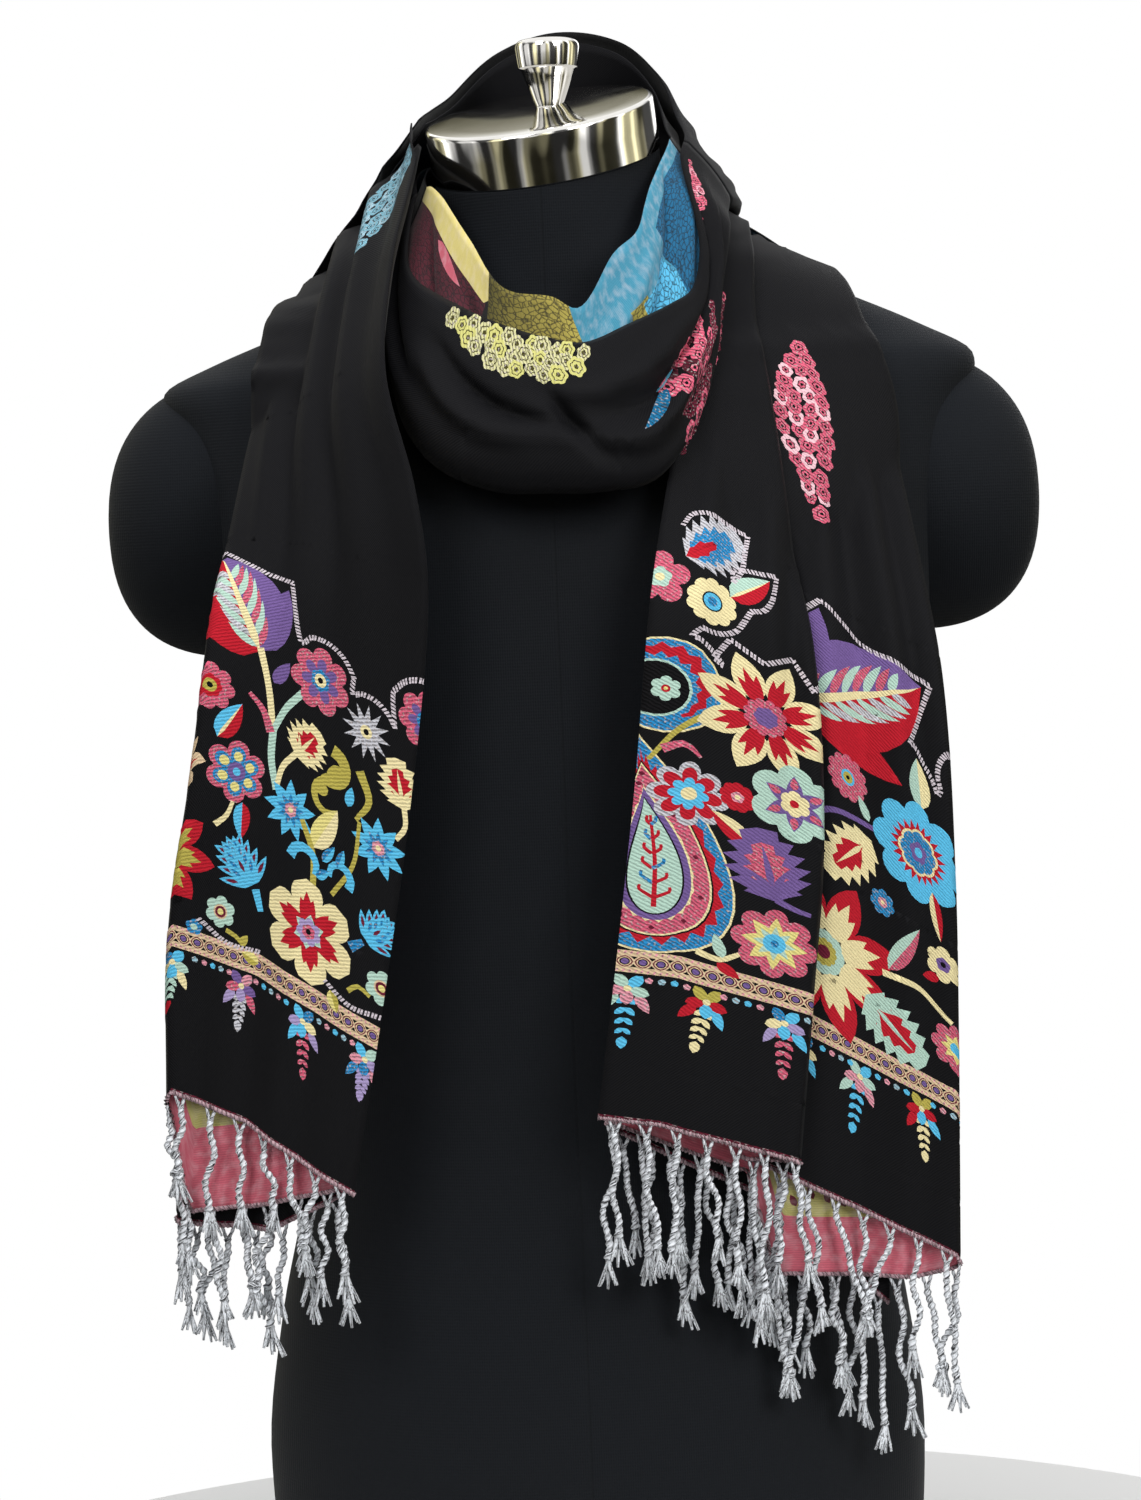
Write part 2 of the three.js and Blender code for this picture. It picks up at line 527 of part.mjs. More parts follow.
function wrapGrid(table, folds) {
  const from = table[0].angle + STRETCH_GAP;
  const to = table[table.length - 1].angle - STRETCH_GAP;
  const steps = Math.round((to - from) / SECTION_TURN);
  return Array.from({ length: steps + 1 }, (_, i) => {
    const angle = mix(from, to, i / steps);
    const turn = radians(angle);
    return wrapSection(along(table, "angle", angle), angle, folds).map(({ radius, height, lift }) => {
      const point = new THREE.Vector3(radius * Math.sin(turn), -radius * Math.cos(turn), height);
      return restOnTorso(point, FORM_CLEARANCE + 1 + lift);
    });
  });
}

// ---- fringe ----
// A strip of the hem's own section below the cloth, with a strand every STRAND_PITCH along it. Each strand
// hangs down with its own length and its own small swing to the side.
function spacedPoints(points, pitch) {
  const lengths = points.map((p, i) => (i ? p.distanceTo(points[i - 1]) : 0));
  const total = lengths.reduce((sum, length) => sum + length, 0);
  const count = Math.round(total / pitch);
  return Array.from({ length: count }, (_, k) => {
    let left = ((k + 0.5) / count) * total;
    let i = 1;
    while (i < points.length - 1 && left > lengths[i]) left -= lengths[i++];
    return points[i - 1].clone().lerp(points[i], Math.min(left / lengths[i], 1));
  });
}

function strand(root, meanLength, k) {
  const length = meanLength * (1 + 0.2 * Math.sin(k * 1.7) + 0.1 * Math.sin(k * 4.1));
  const swing = STRAND_SWING * Math.sin(k * 2.4);
  const rings = [1, 0.66, 0.33, 0].map((t) => {
    const radius = t === 1 ? STRAND_TIP_RADIUS : STRAND_RADIUS;
    return Array.from({ length: STRAND_SIDES }, (_, corner) => {
      const turn = (2 * Math.PI * corner) / STRAND_SIDES + k;
      const x = root.x + swing * t * t + radius * Math.cos(turn);
      return new THREE.Vector3(x, root.y + radius * Math.sin(turn), root.z - t * length);
    });
  });
  return solidOf(loft(rings));
}

function fringe(tail) {
  const columns = sectionColumns(tail.runs);
  const hem = columns.map((column) => tailPoint(tail, 0, column));
  const above = columns.map((column) => tailPoint(tail, PATH_STEP, column));
  const away = hem.map((p, i) => {
    const edge = hem[Math.min(i + 1, hem.length - 1)].clone().sub(hem[Math.max(i - 1, 0)]).normalize();
    const down = p.clone().sub(above[i]);
    return down.addScaledVector(edge, -down.dot(edge)).normalize();
  });
  const lowered = (distance) => hem.map((p, i) => p.clone().addScaledVector(away[i], distance));
  const strip = wall([lowered(SEAM_GAP + HEADING_HEIGHT), lowered(SEAM_GAP)], CLOTH);
  const roots = spacedPoints(lowered(SEAM_GAP + STRAND_RADIUS), STRAND_PITCH);
  const strands = roots.map((root, k) => strand(root, tail.strand, k));
  return geometryOf(strands.reduce((all, one) => all.add(one), solidOf(strip)));
}

// ---- assembly ----
const stoleOnForm = new THREE.Group();
const materials = Object.fromEntries(
  Object.entries(COLOURS).map(([name, look]) => [name, new THREE.MeshStandardMaterial(look)]),
);

function place(name, geometry, material) {
  const mesh = new THREE.Mesh(geometry, materials[material]);
  mesh.name = name;
  stoleOnForm.add(mesh);
}

place("form_torso", torso(), "form");
place("form_left_arm_cap", armCap(-1), "form");
place("form_right_arm_cap", armCap(1), "form");

const cap = neckCap();
place("neck_cap", cap, "chrome");
place("neck_cap_knob", knob(cap), "chrome");

place("right_tail", wall(tailGrid(RIGHT), CLOTH), "cloth");
place("left_tail", wall(tailGrid(LEFT), CLOTH), "cloth");
place("inner_loop", wall(wrapGrid(INNER_LOOP, INNER_FOLDS), CLOTH), "cloth");
place("cowl", wall(wrapGrid(COWL, COWL_FOLDS), CLOTH), "cloth");
place("outer_loop", wall(wrapGrid(OUTER_LOOP, OUTER_FOLDS), CLOTH), "cloth");
place("right_fringe", fringe(RIGHT), "fringe");
place("left_fringe", fringe(LEFT), "fringe");

export default stoleOnForm;
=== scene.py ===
# A woven paisley stole wound round the neck of a limbless dress form, in metres, +Z up, front towards -Y.
import bpy
import math
import numpy as np
from mathutils import Matrix, Vector, geometry


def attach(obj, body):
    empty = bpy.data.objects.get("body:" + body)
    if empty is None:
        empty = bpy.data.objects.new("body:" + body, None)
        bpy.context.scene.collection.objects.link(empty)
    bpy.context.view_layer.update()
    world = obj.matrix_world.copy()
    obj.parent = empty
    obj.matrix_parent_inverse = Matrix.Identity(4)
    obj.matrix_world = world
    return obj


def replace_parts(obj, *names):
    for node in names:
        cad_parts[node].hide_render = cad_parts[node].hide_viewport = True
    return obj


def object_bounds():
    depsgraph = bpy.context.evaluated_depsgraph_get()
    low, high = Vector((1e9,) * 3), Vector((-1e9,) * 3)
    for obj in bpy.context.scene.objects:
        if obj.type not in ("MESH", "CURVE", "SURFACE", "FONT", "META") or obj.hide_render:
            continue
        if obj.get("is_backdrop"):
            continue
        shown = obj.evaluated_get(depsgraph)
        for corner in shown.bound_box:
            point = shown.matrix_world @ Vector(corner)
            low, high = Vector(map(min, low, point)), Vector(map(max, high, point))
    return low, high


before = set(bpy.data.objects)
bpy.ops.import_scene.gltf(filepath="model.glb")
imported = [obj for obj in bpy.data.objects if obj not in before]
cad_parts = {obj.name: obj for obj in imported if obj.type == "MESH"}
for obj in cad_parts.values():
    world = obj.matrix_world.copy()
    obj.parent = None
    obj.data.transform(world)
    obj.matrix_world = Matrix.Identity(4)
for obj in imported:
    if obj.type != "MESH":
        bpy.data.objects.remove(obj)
cad_low, cad_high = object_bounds()
bpy.ops.object.select_all(action="DESELECT")

# ---- camera, floor and light ----
# A still camera at chest height, two metres off and held slightly turned, and a plain pale floor. Two soft
# panels stand in front, the stronger one on the right, with more light from above and a little from behind.
LENS_MM = 89.2
CAMERA_DISTANCE = 2.0
CAMERA_RISE = math.radians(3)
CAMERA_ROLL = math.radians(-2.3)

aim = Vector((0, 0, 0.5))
away = Vector((0, -math.cos(CAMERA_RISE), math.sin(CAMERA_RISE)))
lens = bpy.data.cameras.new("camera")
lens.lens = LENS_MM
camera = bpy.data.objects.new("camera", lens)
camera.location = aim + away * CAMERA_DISTANCE
camera.rotation_mode = "QUATERNION"
turned = (-away).to_track_quat("-Z", "Y").to_matrix() @ Matrix.Rotation(CAMERA_ROLL, 3, "Z")
camera.rotation_quaternion = turned.to_quaternion()
bpy.context.scene.collection.objects.link(camera)
bpy.context.scene.camera = camera
bpy.context.scene.view_settings.view_transform = "Standard"


class Value:
    """A shader socket that takes part in Python sums: an expression on values adds its Math nodes."""

    def __init__(self, nodes, socket):
        self.nodes, self.socket = nodes, socket

    def math(self, operation, *others):
        inputs = {0: self, **dict(enumerate(others, 1))}
        return self.nodes.add("ShaderNodeMath", {"operation": operation}, inputs)

    def held(self, high=1.0):
        """The value kept between nought and an upper limit."""
        return self.math("MAXIMUM", 0.0).math("MINIMUM", high)

    def __add__(self, other):
        return self.math("ADD", other)

    def __sub__(self, other):
        return self.math("SUBTRACT", other)

    def __mul__(self, other):
        return self.math("MULTIPLY", other)

    def __rsub__(self, other):
        return self.nodes.add("ShaderNodeMath", {"operation": "SUBTRACT"}, {0: other, 1: self})

    __radd__ = __add__
    __rmul__ = __mul__


class Nodes:
    """The node tree of one material, or of the world, built from its shader."""

    def __init__(self, name, kind="materials", shader="Principled BSDF"):
        self.owner = getattr(bpy.data, kind).new(name)
        self.owner.use_nodes = True
        self.tree = self.owner.node_tree
        self.shader = self.tree.nodes[shader]

    def add(self, kind, settings=(), inputs=(), output=0):
        node = self.tree.nodes.new(kind)
        for key, value in dict(settings).items():
            setattr(node, key, value)
        for key, value in dict(inputs).items():
            self.put(node, key, value)
        return Value(self, node.outputs[output])

    def put(self, node, key, value):
        if isinstance(value, Value):
            self.tree.links.new(value.socket, node.inputs[key])
        else:
            node.inputs[key].default_value = value

    def mix(self, share, low, high, blend="MIX"):
        kind = {"data_type": "RGBA", "blend_type": blend}
        return self.add("ShaderNodeMix", kind, {0: share, 6: low, 7: high}, 2)

    def noise(self, place, scale, detail):
        return self.add("ShaderNodeTexNoise", {}, {0: place, "Scale": scale, "Detail": detail})

    def wave(self, place, scale, distortion, detail=2.0, detail_scale=1.0, direction="X"):
        inputs = {0: place, "Scale": scale, "Distortion": distortion}
        inputs.update({"Detail": detail, "Detail Scale": detail_scale})
        return self.add("ShaderNodeTexWave", {"bands_direction": direction}, inputs, 1)

    def bump(self, height, strength, distance):
        inputs = {"Strength": strength, "Distance": distance, "Height": height}
        return self.add("ShaderNodeBump", {}, inputs)

    def split(self, place):
        node = self.tree.nodes.new("ShaderNodeSeparateXYZ")
        self.put(node, 0, place)
        return [Value(self, node.outputs[k]) for k in range(3)]

    def finish(self, **inputs):
        for key, value in inputs.items():
            self.put(self.shader, key.replace("_", " "), value)
        return self.owner


def linear(text, alpha=1.0):
    """A screen colour such as "e8d9a0" as the linear values that shaders and colour attributes hold."""
    shown = [int(text[k : k + 2], 16) / 255 for k in (0, 2, 4)]
    return tuple(c / 12.92 if c <= 0.04045 else ((c + 0.055) / 1.055) ** 2.4 for c in shown) + (alpha,)


def new_object(name, points, faces):
    mesh = bpy.data.meshes.new(name)
    mesh.from_pydata([tuple(p) for p in points], [], [tuple(f) for f in faces])
    mesh.shade_smooth()
    thing = bpy.data.objects.new(name, mesh)
    bpy.context.scene.collection.objects.link(thing)
    return thing


def floor_finish():
    nodes = Nodes("pale floor")
    cloudy = nodes.add("ShaderNodeTexNoise", {}, {"Scale": 1.5, "Detail": 2.0})
    colour = nodes.mix(cloudy, linear("f6f6f5"), linear("fcfcfb"))
    return nodes.finish(Base_Color=colour, Roughness=0.9)


bpy.ops.mesh.primitive_circle_add(vertices=96, radius=0.5, fill_type="NGON", location=(0, 0, -0.0004))
floor = bpy.context.object
floor.name = "floor"
floor.data.materials.append(floor_finish())
floor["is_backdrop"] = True


def softbox(name, place, size, power, mirrored=True):
    lamp = bpy.data.lights.new(name, "AREA")
    lamp.shape, lamp.size, lamp.size_y, lamp.energy = "RECTANGLE", size[0], size[1], power
    thing = bpy.data.objects.new(name, lamp)
    thing.location = place
    thing.rotation_euler = (aim - Vector(place)).to_track_quat("-Z", "Y").to_euler()
    thing.visible_glossy = mirrored
    bpy.context.scene.collection.objects.link(thing)


softbox("window", (-1.3, -2.3, 2.0), (1.2, 1.6), 32)
softbox("fill", (1.6, -2.3, 1.8), (1.2, 1.6), 50)
softbox("rim", (0.5, 2.4, 2.2), (2.0, 1.2), 12, False)
softbox("top", (0, -0.6, 2.8), (1.4, 1.2), 34, False)


def studio():
    """White to the eye. What the cloth and the chrome see is a dimmer room: bright panels with dark gaps
    between them round the sides, a pale ceiling and a dark ground."""
    nodes = Nodes("studio", "worlds", "Background")
    way = nodes.add("ShaderNodeTexCoord", output="Generated")
    _, _, high = nodes.split(way)
    drawn = nodes.add("ShaderNodeMapping", {}, {0: way, "Scale": (3.0, 3.0, 0.35)})
    noise = nodes.noise(drawn, 1.2, 0.0)
    panels = (noise * 12 - 5.8).held() * 0.45
    panels = panels + (noise * 16 - 10).held() * 0.9
    other = nodes.add("ShaderNodeMapping", {}, {0: way, "Scale": (2.1, 2.1, 0.3), "Location": (4, 2, 0)})
    warm = (nodes.noise(other, 1.4, 0.0) * 9 - 4.3).held()
    ceiling = (high * 4 - 1.6).held()
    ground = (high * -5 - 0.2).held()
    seen = (panels + 0.04) * (1 - ceiling) + ceiling * 0.62
    seen = seen * (1 - ground * 0.7)
    direct = nodes.add("ShaderNodeLightPath", output="Is Camera Ray")
    mirrored = nodes.add("ShaderNodeLightPath", output="Is Glossy Ray")
    warm = warm * mirrored * (1 - ceiling)
    colour = nodes.mix(warm, (1.0, 1.0, 1.0, 1.0), linear("cfc9a4"))
    return nodes.finish(Color=colour, Strength=direct + (1 - direct) * seen * (0.35 + mirrored * 1.85))


bpy.context.scene.world = studio()

# ---- torso of the dress form ----
# A padded fibreglass torso with a black jersey cover, sewn down the middle of the front and round the
# armholes. It ends in a flat underside. The surface carries the stole, so its shape is also what the cloth
# rests on.
MM = 0.001
NECK_SLOPE = 0.298
NECK_LEAN = 0.13
NECK_LEVEL = 813.5


def table(names, *rows):
    return dict(zip(names.split(), np.array(rows, float).T))


TORSO = table(
    "level width depth middle shift square slope",
    (0, 168, 120, 4, 0, 2.4, 0),
    (130, 177, 126, 4, 0, 2.4, 0),
    (200, 169, 120, 3, 1, 2.35, 0),
    (300, 151, 108, 0, 3, 2.3, 0),
    (420, 162, 114, 0, 5, 2.4, 0),
    (540, 184, 122, 4, 6, 2.5, 0),
    (620, 197, 117, 6, 7, 2.5, 0),
    (675, 210, 100, 9, 7, 2.4, 0.01),
    (702, 217, 86, 10, 7, 2.3, 0.03),
    (717, 190, 77, 11, 6, 2.2, 0.05),
    (734, 149, 71, 10, 5, 2.1, 0.09),
    (750, 111, 67, 8, 4, 2.05, 0.14),
    (764, 84, 65, 6, 3, 2, 0.19),
    (780, 68, 62, 3, 2, 2, 0.25),
    (798, 61, 60, 1, 1, 2, 0.29),
    (NECK_LEVEL, 60, 58.5, 0, 0, 2, NECK_SLOPE),
)


def along(columns, at):
    """Every column of a table at these places along its first one, on a smooth curve through the rows."""
    key = next(iter(columns.values()))
    at = np.asarray(at, float)
    i = np.clip(np.searchsorted(key, at, side="right") - 1, 0, len(key) - 2)
    before = np.maximum(i - 1, 0)
    after = np.minimum(i + 2, len(key) - 1)
    span = key[i + 1] - key[i]
    t = np.clip((at - key[i]) / span, 0, 1)
    found = {}
    for name, c in columns.items():
        start = (c[i + 1] - c[before]) / (key[i + 1] - key[before]) * span
        end = (c[after] - c[i]) / (key[after] - key[i]) * span
        found[name] = (2 * t**3 - 3 * t**2 + 1) * c[i] + (t**3 - 2 * t**2 + t) * start
        found[name] += (3 * t**2 - 2 * t**3) * c[i + 1] + (t**3 - t**2) * end
    return found


def rise(row, x, y):
    return row["slope"] * (y + x * NECK_LEAN / NECK_SLOPE)


def torso_points(levels, turns):
    row = {name: c[:, None] for name, c in along(TORSO, levels).items()}
    cos, sin = np.cos(turns)[None, :], np.sin(turns)[None, :]
    x = row["shift"] + row["width"] * np.sign(cos) * np.abs(cos) ** (2 / row["square"])
    y = row["middle"] + row["depth"] * np.sign(sin) * np.abs(sin) ** (2 / row["square"])
    return np.stack([x, y, row["level"] + rise(row, x, y)], axis=-1)


def torso_excess(p):
    level = p[..., 2]
    for _ in range(4):
        level = p[..., 2] - rise(along(TORSO, level), p[..., 0], p[..., 1])
    row = along(TORSO, level)
    x = np.abs((p[..., 0] - row["shift"]) / row["width"]) ** row["square"]
    y = np.abs((p[..., 1] - row["middle"]) / row["depth"]) ** row["square"]
    return (x + y) ** (1 / row["square"]) - 1


def rest_on_torso(points, clearance):
    """Moves points of the cloth outwards until they have this clearance from the torso."""
    step = 0.5
    for _ in range(6):
        here = torso_excess(points)
        slope = np.stack(
            [(torso_excess(points + step * axis) - here) / step for axis in np.eye(3)], axis=-1,
        )
        steep = np.linalg.norm(slope, axis=-1)
        short = np.maximum(clearance - here / steep, 0)
        points = points + slope / steep[..., None] * short[..., None]
    return points


def quads(rows, columns, closed):
    """The faces of a grid of points, row by row, which may close on itself across its columns."""
    last = columns if closed else columns - 1
    return [
        (low + j, low + (j + 1) % columns, low + columns + (j + 1) % columns, low + columns + j)
        for low in range(0, (rows - 1) * columns, columns)
        for j in range(last)
    ]


def closed_rings(name, rings):
    """A closed body through rings of points, with a face on each end."""
    rows, columns = rings.shape[:2]
    ends = [tuple(reversed(range(columns))), tuple(range((rows - 1) * columns, rows * columns))]
    return new_object(name, rings.reshape(-1, 3) * MM, quads(rows, columns, True) + ends)


SEAM_X = -0.004
SEAM_HALF_WIDTH = 0.0011


def jersey_finish():
    """Black knitted jersey: fine ribs, a little lint, and the sunk line of the seam down the front."""
    nodes = Nodes("black jersey")
    place = nodes.add("ShaderNodeTexCoord", output="Object")
    x, _, _ = nodes.split(place)
    ribs = nodes.wave(place, 260.0, 1.5, 1.0, 3.0)
    rows = nodes.wave(place, 190.0, 1.0, direction="Z")
    lint = nodes.noise(place, 900.0, 2.0)
    cloudy = nodes.noise(place, 9.0, 3.0)
    off_seam = (x - SEAM_X).math("ABSOLUTE").math("DIVIDE", SEAM_HALF_WIDTH).math("MINIMUM", 1.0)
    height = ribs * 0.4 + rows * 0.3 + lint * 0.5 + off_seam * 1.6
    # Lint and clouding vary the tone at random; the darker colour along the seam is painted shade in its
    # sunk line.
    tone_and_seam_shade = cloudy * 0.35 + lint * 0.4 + off_seam * 0.25
    return nodes.finish(
        Base_Color=nodes.mix(tone_and_seam_shade, linear("05070a"), linear("12151a")),
        Normal=nodes.bump(height, 0.35, 0.0006),
        Roughness=0.74 + cloudy * 0.1,
        Sheen_Weight=0.02,
        Sheen_Roughness=0.45,
        Specular_IOR_Level=0.15,
    )


TORSO_SIDES = 128
LEVEL_STEP = 6
SHOULDER_LEVEL = 690
trunk = np.arange(0, SHOULDER_LEVEL, LEVEL_STEP * 2)
shoulders = np.arange(SHOULDER_LEVEL, NECK_LEVEL, LEVEL_STEP / 2)
levels = np.concatenate([trunk, shoulders, [NECK_LEVEL]])
around = 2 * math.pi * np.arange(TORSO_SIDES) / TORSO_SIDES
jersey = jersey_finish()
form = closed_rings("dress_form", torso_points(levels, around))
form.data.materials.append(jersey)
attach(form, "root")
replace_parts(form, "form_torso")

# ---- arm caps ----
# Padded domes that close the armholes, covered in the same jersey, with a piped seam where each meets the
# torso.
ARM_CAP = {"x": 172, "shift": 7, "y": 10, "z": 634}
ARM_CAP.update({"reach": 78, "depth": 60, "height": 76, "square": 2.5, "droop": 6})
ARM_CAP_SIDES = 64
ARM_CAP_RINGS = 26


def arm_cap(name, side):
    cap = ARM_CAP
    out = np.sin(math.pi / 2 * np.linspace(0, 1, ARM_CAP_RINGS, endpoint=False))[:, None]
    round_in = (1 - out ** cap["square"]) ** (1 / cap["square"])
    turn = side * 2 * math.pi * np.arange(ARM_CAP_SIDES)[None, :] / ARM_CAP_SIDES
    x = cap["shift"] + side * (cap["x"] + cap["reach"] * out) + 0 * turn
    y = cap["y"] + cap["depth"] * round_in * np.cos(turn)
    z = cap["z"] + cap["height"] * round_in * np.sin(turn) - cap["droop"] * out
    body = closed_rings(name, np.stack([x, y, z], axis=-1))
    body.data.materials.append(jersey)
    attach(body, "root")
    return body


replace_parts(arm_cap("left_arm_cap", -1), "form_left_arm_cap")
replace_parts(arm_cap("right_arm_cap", 1), "form_right_arm_cap")

# ---- neck cap and knob ----
# A spun steel cap, chromed and polished, that fits square on the sloping neck, and the turned knob screwed
# into it. The knob stands upright on a waisted stem.
CAP_RADIUS = 0.0615
CAP_HEIGHT = 0.0285
CAP_SIDES = 128
KNOB_TOP = 0.879
KNOB_HEIGHT = 0.04
KNOB_SHIFT = 0.0025
KNOB_SIDES = 96


def chrome_finish():
    nodes = Nodes("polished chrome")
    place = nodes.add("ShaderNodeTexCoord", output="Object")
    smears = nodes.noise(place, 55.0, 3.0)
    dents = nodes.noise(place, 14.0, 1.0)
    bump = nodes.bump(dents, 0.06, 0.002)
    colour = nodes.mix(smears, linear("c9c7c3"), linear("dedcd8"))
    return nodes.finish(Base_Color=colour, Metallic=1.0, Roughness=0.04 + smears * 0.09, Normal=bump)


def spun(name, profile, sides):
    """A turned body: a disc drawn up step by step through the radii and heights of a profile."""
    bpy.ops.object.select_all(action="DESELECT")
    radius, height = profile[0]
    bpy.ops.mesh.primitive_circle_add(
        vertices=sides, radius=radius, fill_type="NGON", location=(0, 0, height),
    )
    body = bpy.context.object
    body.name = body.data.name = name
    bpy.ops.object.transform_apply(location=True, rotation=True, scale=True)
    bpy.ops.object.mode_set(mode="EDIT")
    bpy.ops.mesh.select_all(action="SELECT")
    for wide, high in profile[1:]:
        bpy.ops.mesh.extrude_region_move(TRANSFORM_OT_translate={"value": (0, 0, high - height)})
        bpy.ops.transform.resize(value=(wide / radius, wide / radius, 1), center_override=(0, 0, 0))
        radius, height = wide, high
    bpy.ops.mesh.select_all(action="SELECT")
    bpy.ops.mesh.normals_make_consistent(inside=False)
    bpy.ops.object.mode_set(mode="OBJECT")
    return body


def metal_piece(body, node):
    body.data.materials.append(chrome)
    body.data.shade_smooth()
    bpy.ops.object.shade_smooth_by_angle(angle=math.radians(38))
    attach(body, "root")
    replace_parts(body, node)


chrome = chrome_finish()
r, h = CAP_RADIUS, CAP_HEIGHT
CAP_EDGE = 0.0026
wall = [(r - 0.0008, 0.0), (r, 0.0008), (r, h * 0.5), (r, h - CAP_EDGE)]
bend = np.radians([22, 45, 68, 90])
wall += [(r - CAP_EDGE * (1 - math.cos(a)), h - CAP_EDGE * (1 - math.sin(a))) for a in bend]
crown = [(r * 0.8, h + 0.0004), (r * 0.5, h + 0.0007), (0.009, h + 0.0009)]
neck_cap = spun("chrome_neck_cap", wall + crown, CAP_SIDES)
neck_up = Vector((-NECK_LEAN, -NECK_SLOPE, 1)).normalized()
upright = Vector((0, 0, 1)).rotation_difference(neck_up).to_matrix().to_4x4()
neck_cap.data.transform(Matrix.Translation((0, 0, NECK_LEVEL * MM + 0.0003)) @ upright)
metal_piece(neck_cap, "neck_cap")

KNOB_STEM = [(7.8, 0.2), (7.8, 3.6), (7.1, 4.4), (7.2, 5.2)]
KNOB_BELL = [(8.5, 8.3), (10.8, 14.3), (12.6, 19.6), (14.2, 24), (14.6, 24.6)]
KNOB_RIM = [(15.8, 25.1), (16, 26), (16.7, 31), (17.2, 35.5), (17.1, 37.2)]
KNOB_CROWN = [(16.4, 38.6), (15.2, 39.5), (13.6, 39.95), (6, 40.05)]
knob_foot = KNOB_TOP - KNOB_HEIGHT
knob = KNOB_STEM + KNOB_BELL + KNOB_RIM + KNOB_CROWN
neck_knob = spun("chrome_knob", [(wide * MM, high * MM) for wide, high in knob], KNOB_SIDES)
neck_knob.data.transform(Matrix.Translation((KNOB_SHIFT, 0, knob_foot)))
metal_piece(neck_knob, "neck_cap_knob")

# ---- the stole: how its cloth is shaped ----
# One woven length, folded lengthwise with its coloured reverse inside, so that it lies in layers between its
# neck-side edge and its fold. The five stretches share what is here: how a hanging end is laid on the chest,
# how a stretch goes round the neck, and how flat weave is put on the shape.
CLOTH = 0.8
FORM_CLEARANCE = 2.3
LAYER_PITCH = 3.3
PLEAT = 0.55
DROP_FADES_BY = 230
WAVES_START, WAVES_ACROSS, WAVES_UP = 0.6, 5.2, 0.004
GRID_STEP = 4.0


def smooth_step(t):
    t = np.clip(t, 0, 1)
    return t * t * (3 - 2 * t)


def unit(v):
    return v / np.linalg.norm(v, axis=-1, keepdims=True)


def band_columns(runs, width):
    """The columns of a hanging end's section: place across, level of the layer, bulge of a turn, and hem's
    drop."""
    columns = []
    for level, (start, stop, at, drop) in enumerate(runs):
        steps = max(4, round(width * abs(stop - start) / GRID_STEP))
        for t in np.linspace(0, 1, steps + 1):
            columns.append((start + (stop - start) * t, level, 0, np.interp(t, at, drop)))
        if level + 1 < len(runs):
            ahead = runs[level + 1][3][0]
            for t in np.linspace(0, 1, 6)[1:-1]:
                bulge = math.sin(math.pi * t) * np.sign(stop - start)
                middle = level + (1 - math.cos(math.pi * t)) / 2
                columns.append((stop, middle, bulge, drop[-1] + (ahead - drop[-1]) * t))
    return np.array(columns).T


def hanging_end(rows, runs, side, creases, width):
    """The points of a hanging end, [up from the hem][across the section], with its creases."""
    across_band, level, bulge, drop = (c[None, :] for c in band_columns(runs, width))
    key = next(iter(rows))
    last = rows[key][-1]
    s = np.linspace(0, last, round(last / GRID_STEP) + 1)[:, None]
    row = along(rows, s)
    ahead, behind = along(rows, np.minimum(s + GRID_STEP, last)), along(rows, np.maximum(s - GRID_STEP, 0))
    edge, fold = (np.stack([row[a + c] for c in "xyz"], axis=-1) for a in "ef")
    path = unit(sum(np.stack([ahead[a + c] - behind[a + c] for c in "xyz"], axis=-1) for a in "ef"))
    across = unit(fold - edge)
    outwards = unit(np.cross(path, across) * side)
    pleat, crown = row.get("pleat", PLEAT + 0 * s), row.get("crown", 0 * s)
    place = np.where(
        across_band < PLEAT,
        across_band / PLEAT * pleat,
        pleat + (across_band - PLEAT) / (1 - PLEAT) * (1 - pleat),
    )
    out = row["wave"] * np.sin(WAVES_START + WAVES_ACROSS * across_band + WAVES_UP * s)
    out = out + crown * np.sin(math.pi * place) - level * row["gap"]
    for low_at, high_at, wide, low_deep, high_deep in creases:
        t = smooth_step(s / last)
        middle = low_at + (high_at - low_at) * t
        out = out + (low_deep + (high_deep - low_deep) * t) * np.exp(-(((place - middle) / wide) ** 2))
    felt = 1 - smooth_step(s / DROP_FADES_BY)
    points = edge + (fold - edge) * place[..., None]
    points = points + across * (bulge * row["gap"] / 2)[..., None]
    points = points + outwards * out[..., None] - path * (drop * felt)[..., None]
    return rest_on_torso(points, FORM_CLEARANCE + (len(runs) - 1 - level) * LAYER_PITCH)


NECK_SECTION_TURN = 1.5
STRETCH_GAP = 0.25
SAG_RADIUS = 130.0
SAG_HEIGHT = 100.0


def ridges(folds, angle, up):
    """How far the folds move the cloth outwards. A fold is a ridge or trough along a sagging line between
    two places, each an angle and a share of the height, with its sag, its half width in mm and its depth."""
    out = 0 * (angle + up)
    x, y = np.radians(angle) * SAG_RADIUS, up * SAG_HEIGHT
    for a0, u0, a1, u1, sag, wide, deep in folds:
        x0, x1 = math.radians(a0) * SAG_RADIUS, math.radians(a1) * SAG_RADIUS
        t = (x - x0) / (x1 - x0)
        inside = np.clip(t, 0, 1)
        line = (u0 + (u1 - u0) * inside) * SAG_HEIGHT - sag * 4 * inside * (1 - inside)
        beyond = (t - inside) * (x1 - x0)
        slope = ((u1 - u0) * SAG_HEIGHT - sag * 4 * (1 - 2 * inside)) / (x1 - x0)
        off = (y - line) / np.sqrt(1 + slope**2)
        fade = np.sin(math.pi * np.clip(0.12 + 0.76 * inside, 0, 1))
        out = out + deep * fade * np.exp(-((off / wide) ** 2) - (beyond / (2 * wide)) ** 2)
    return out


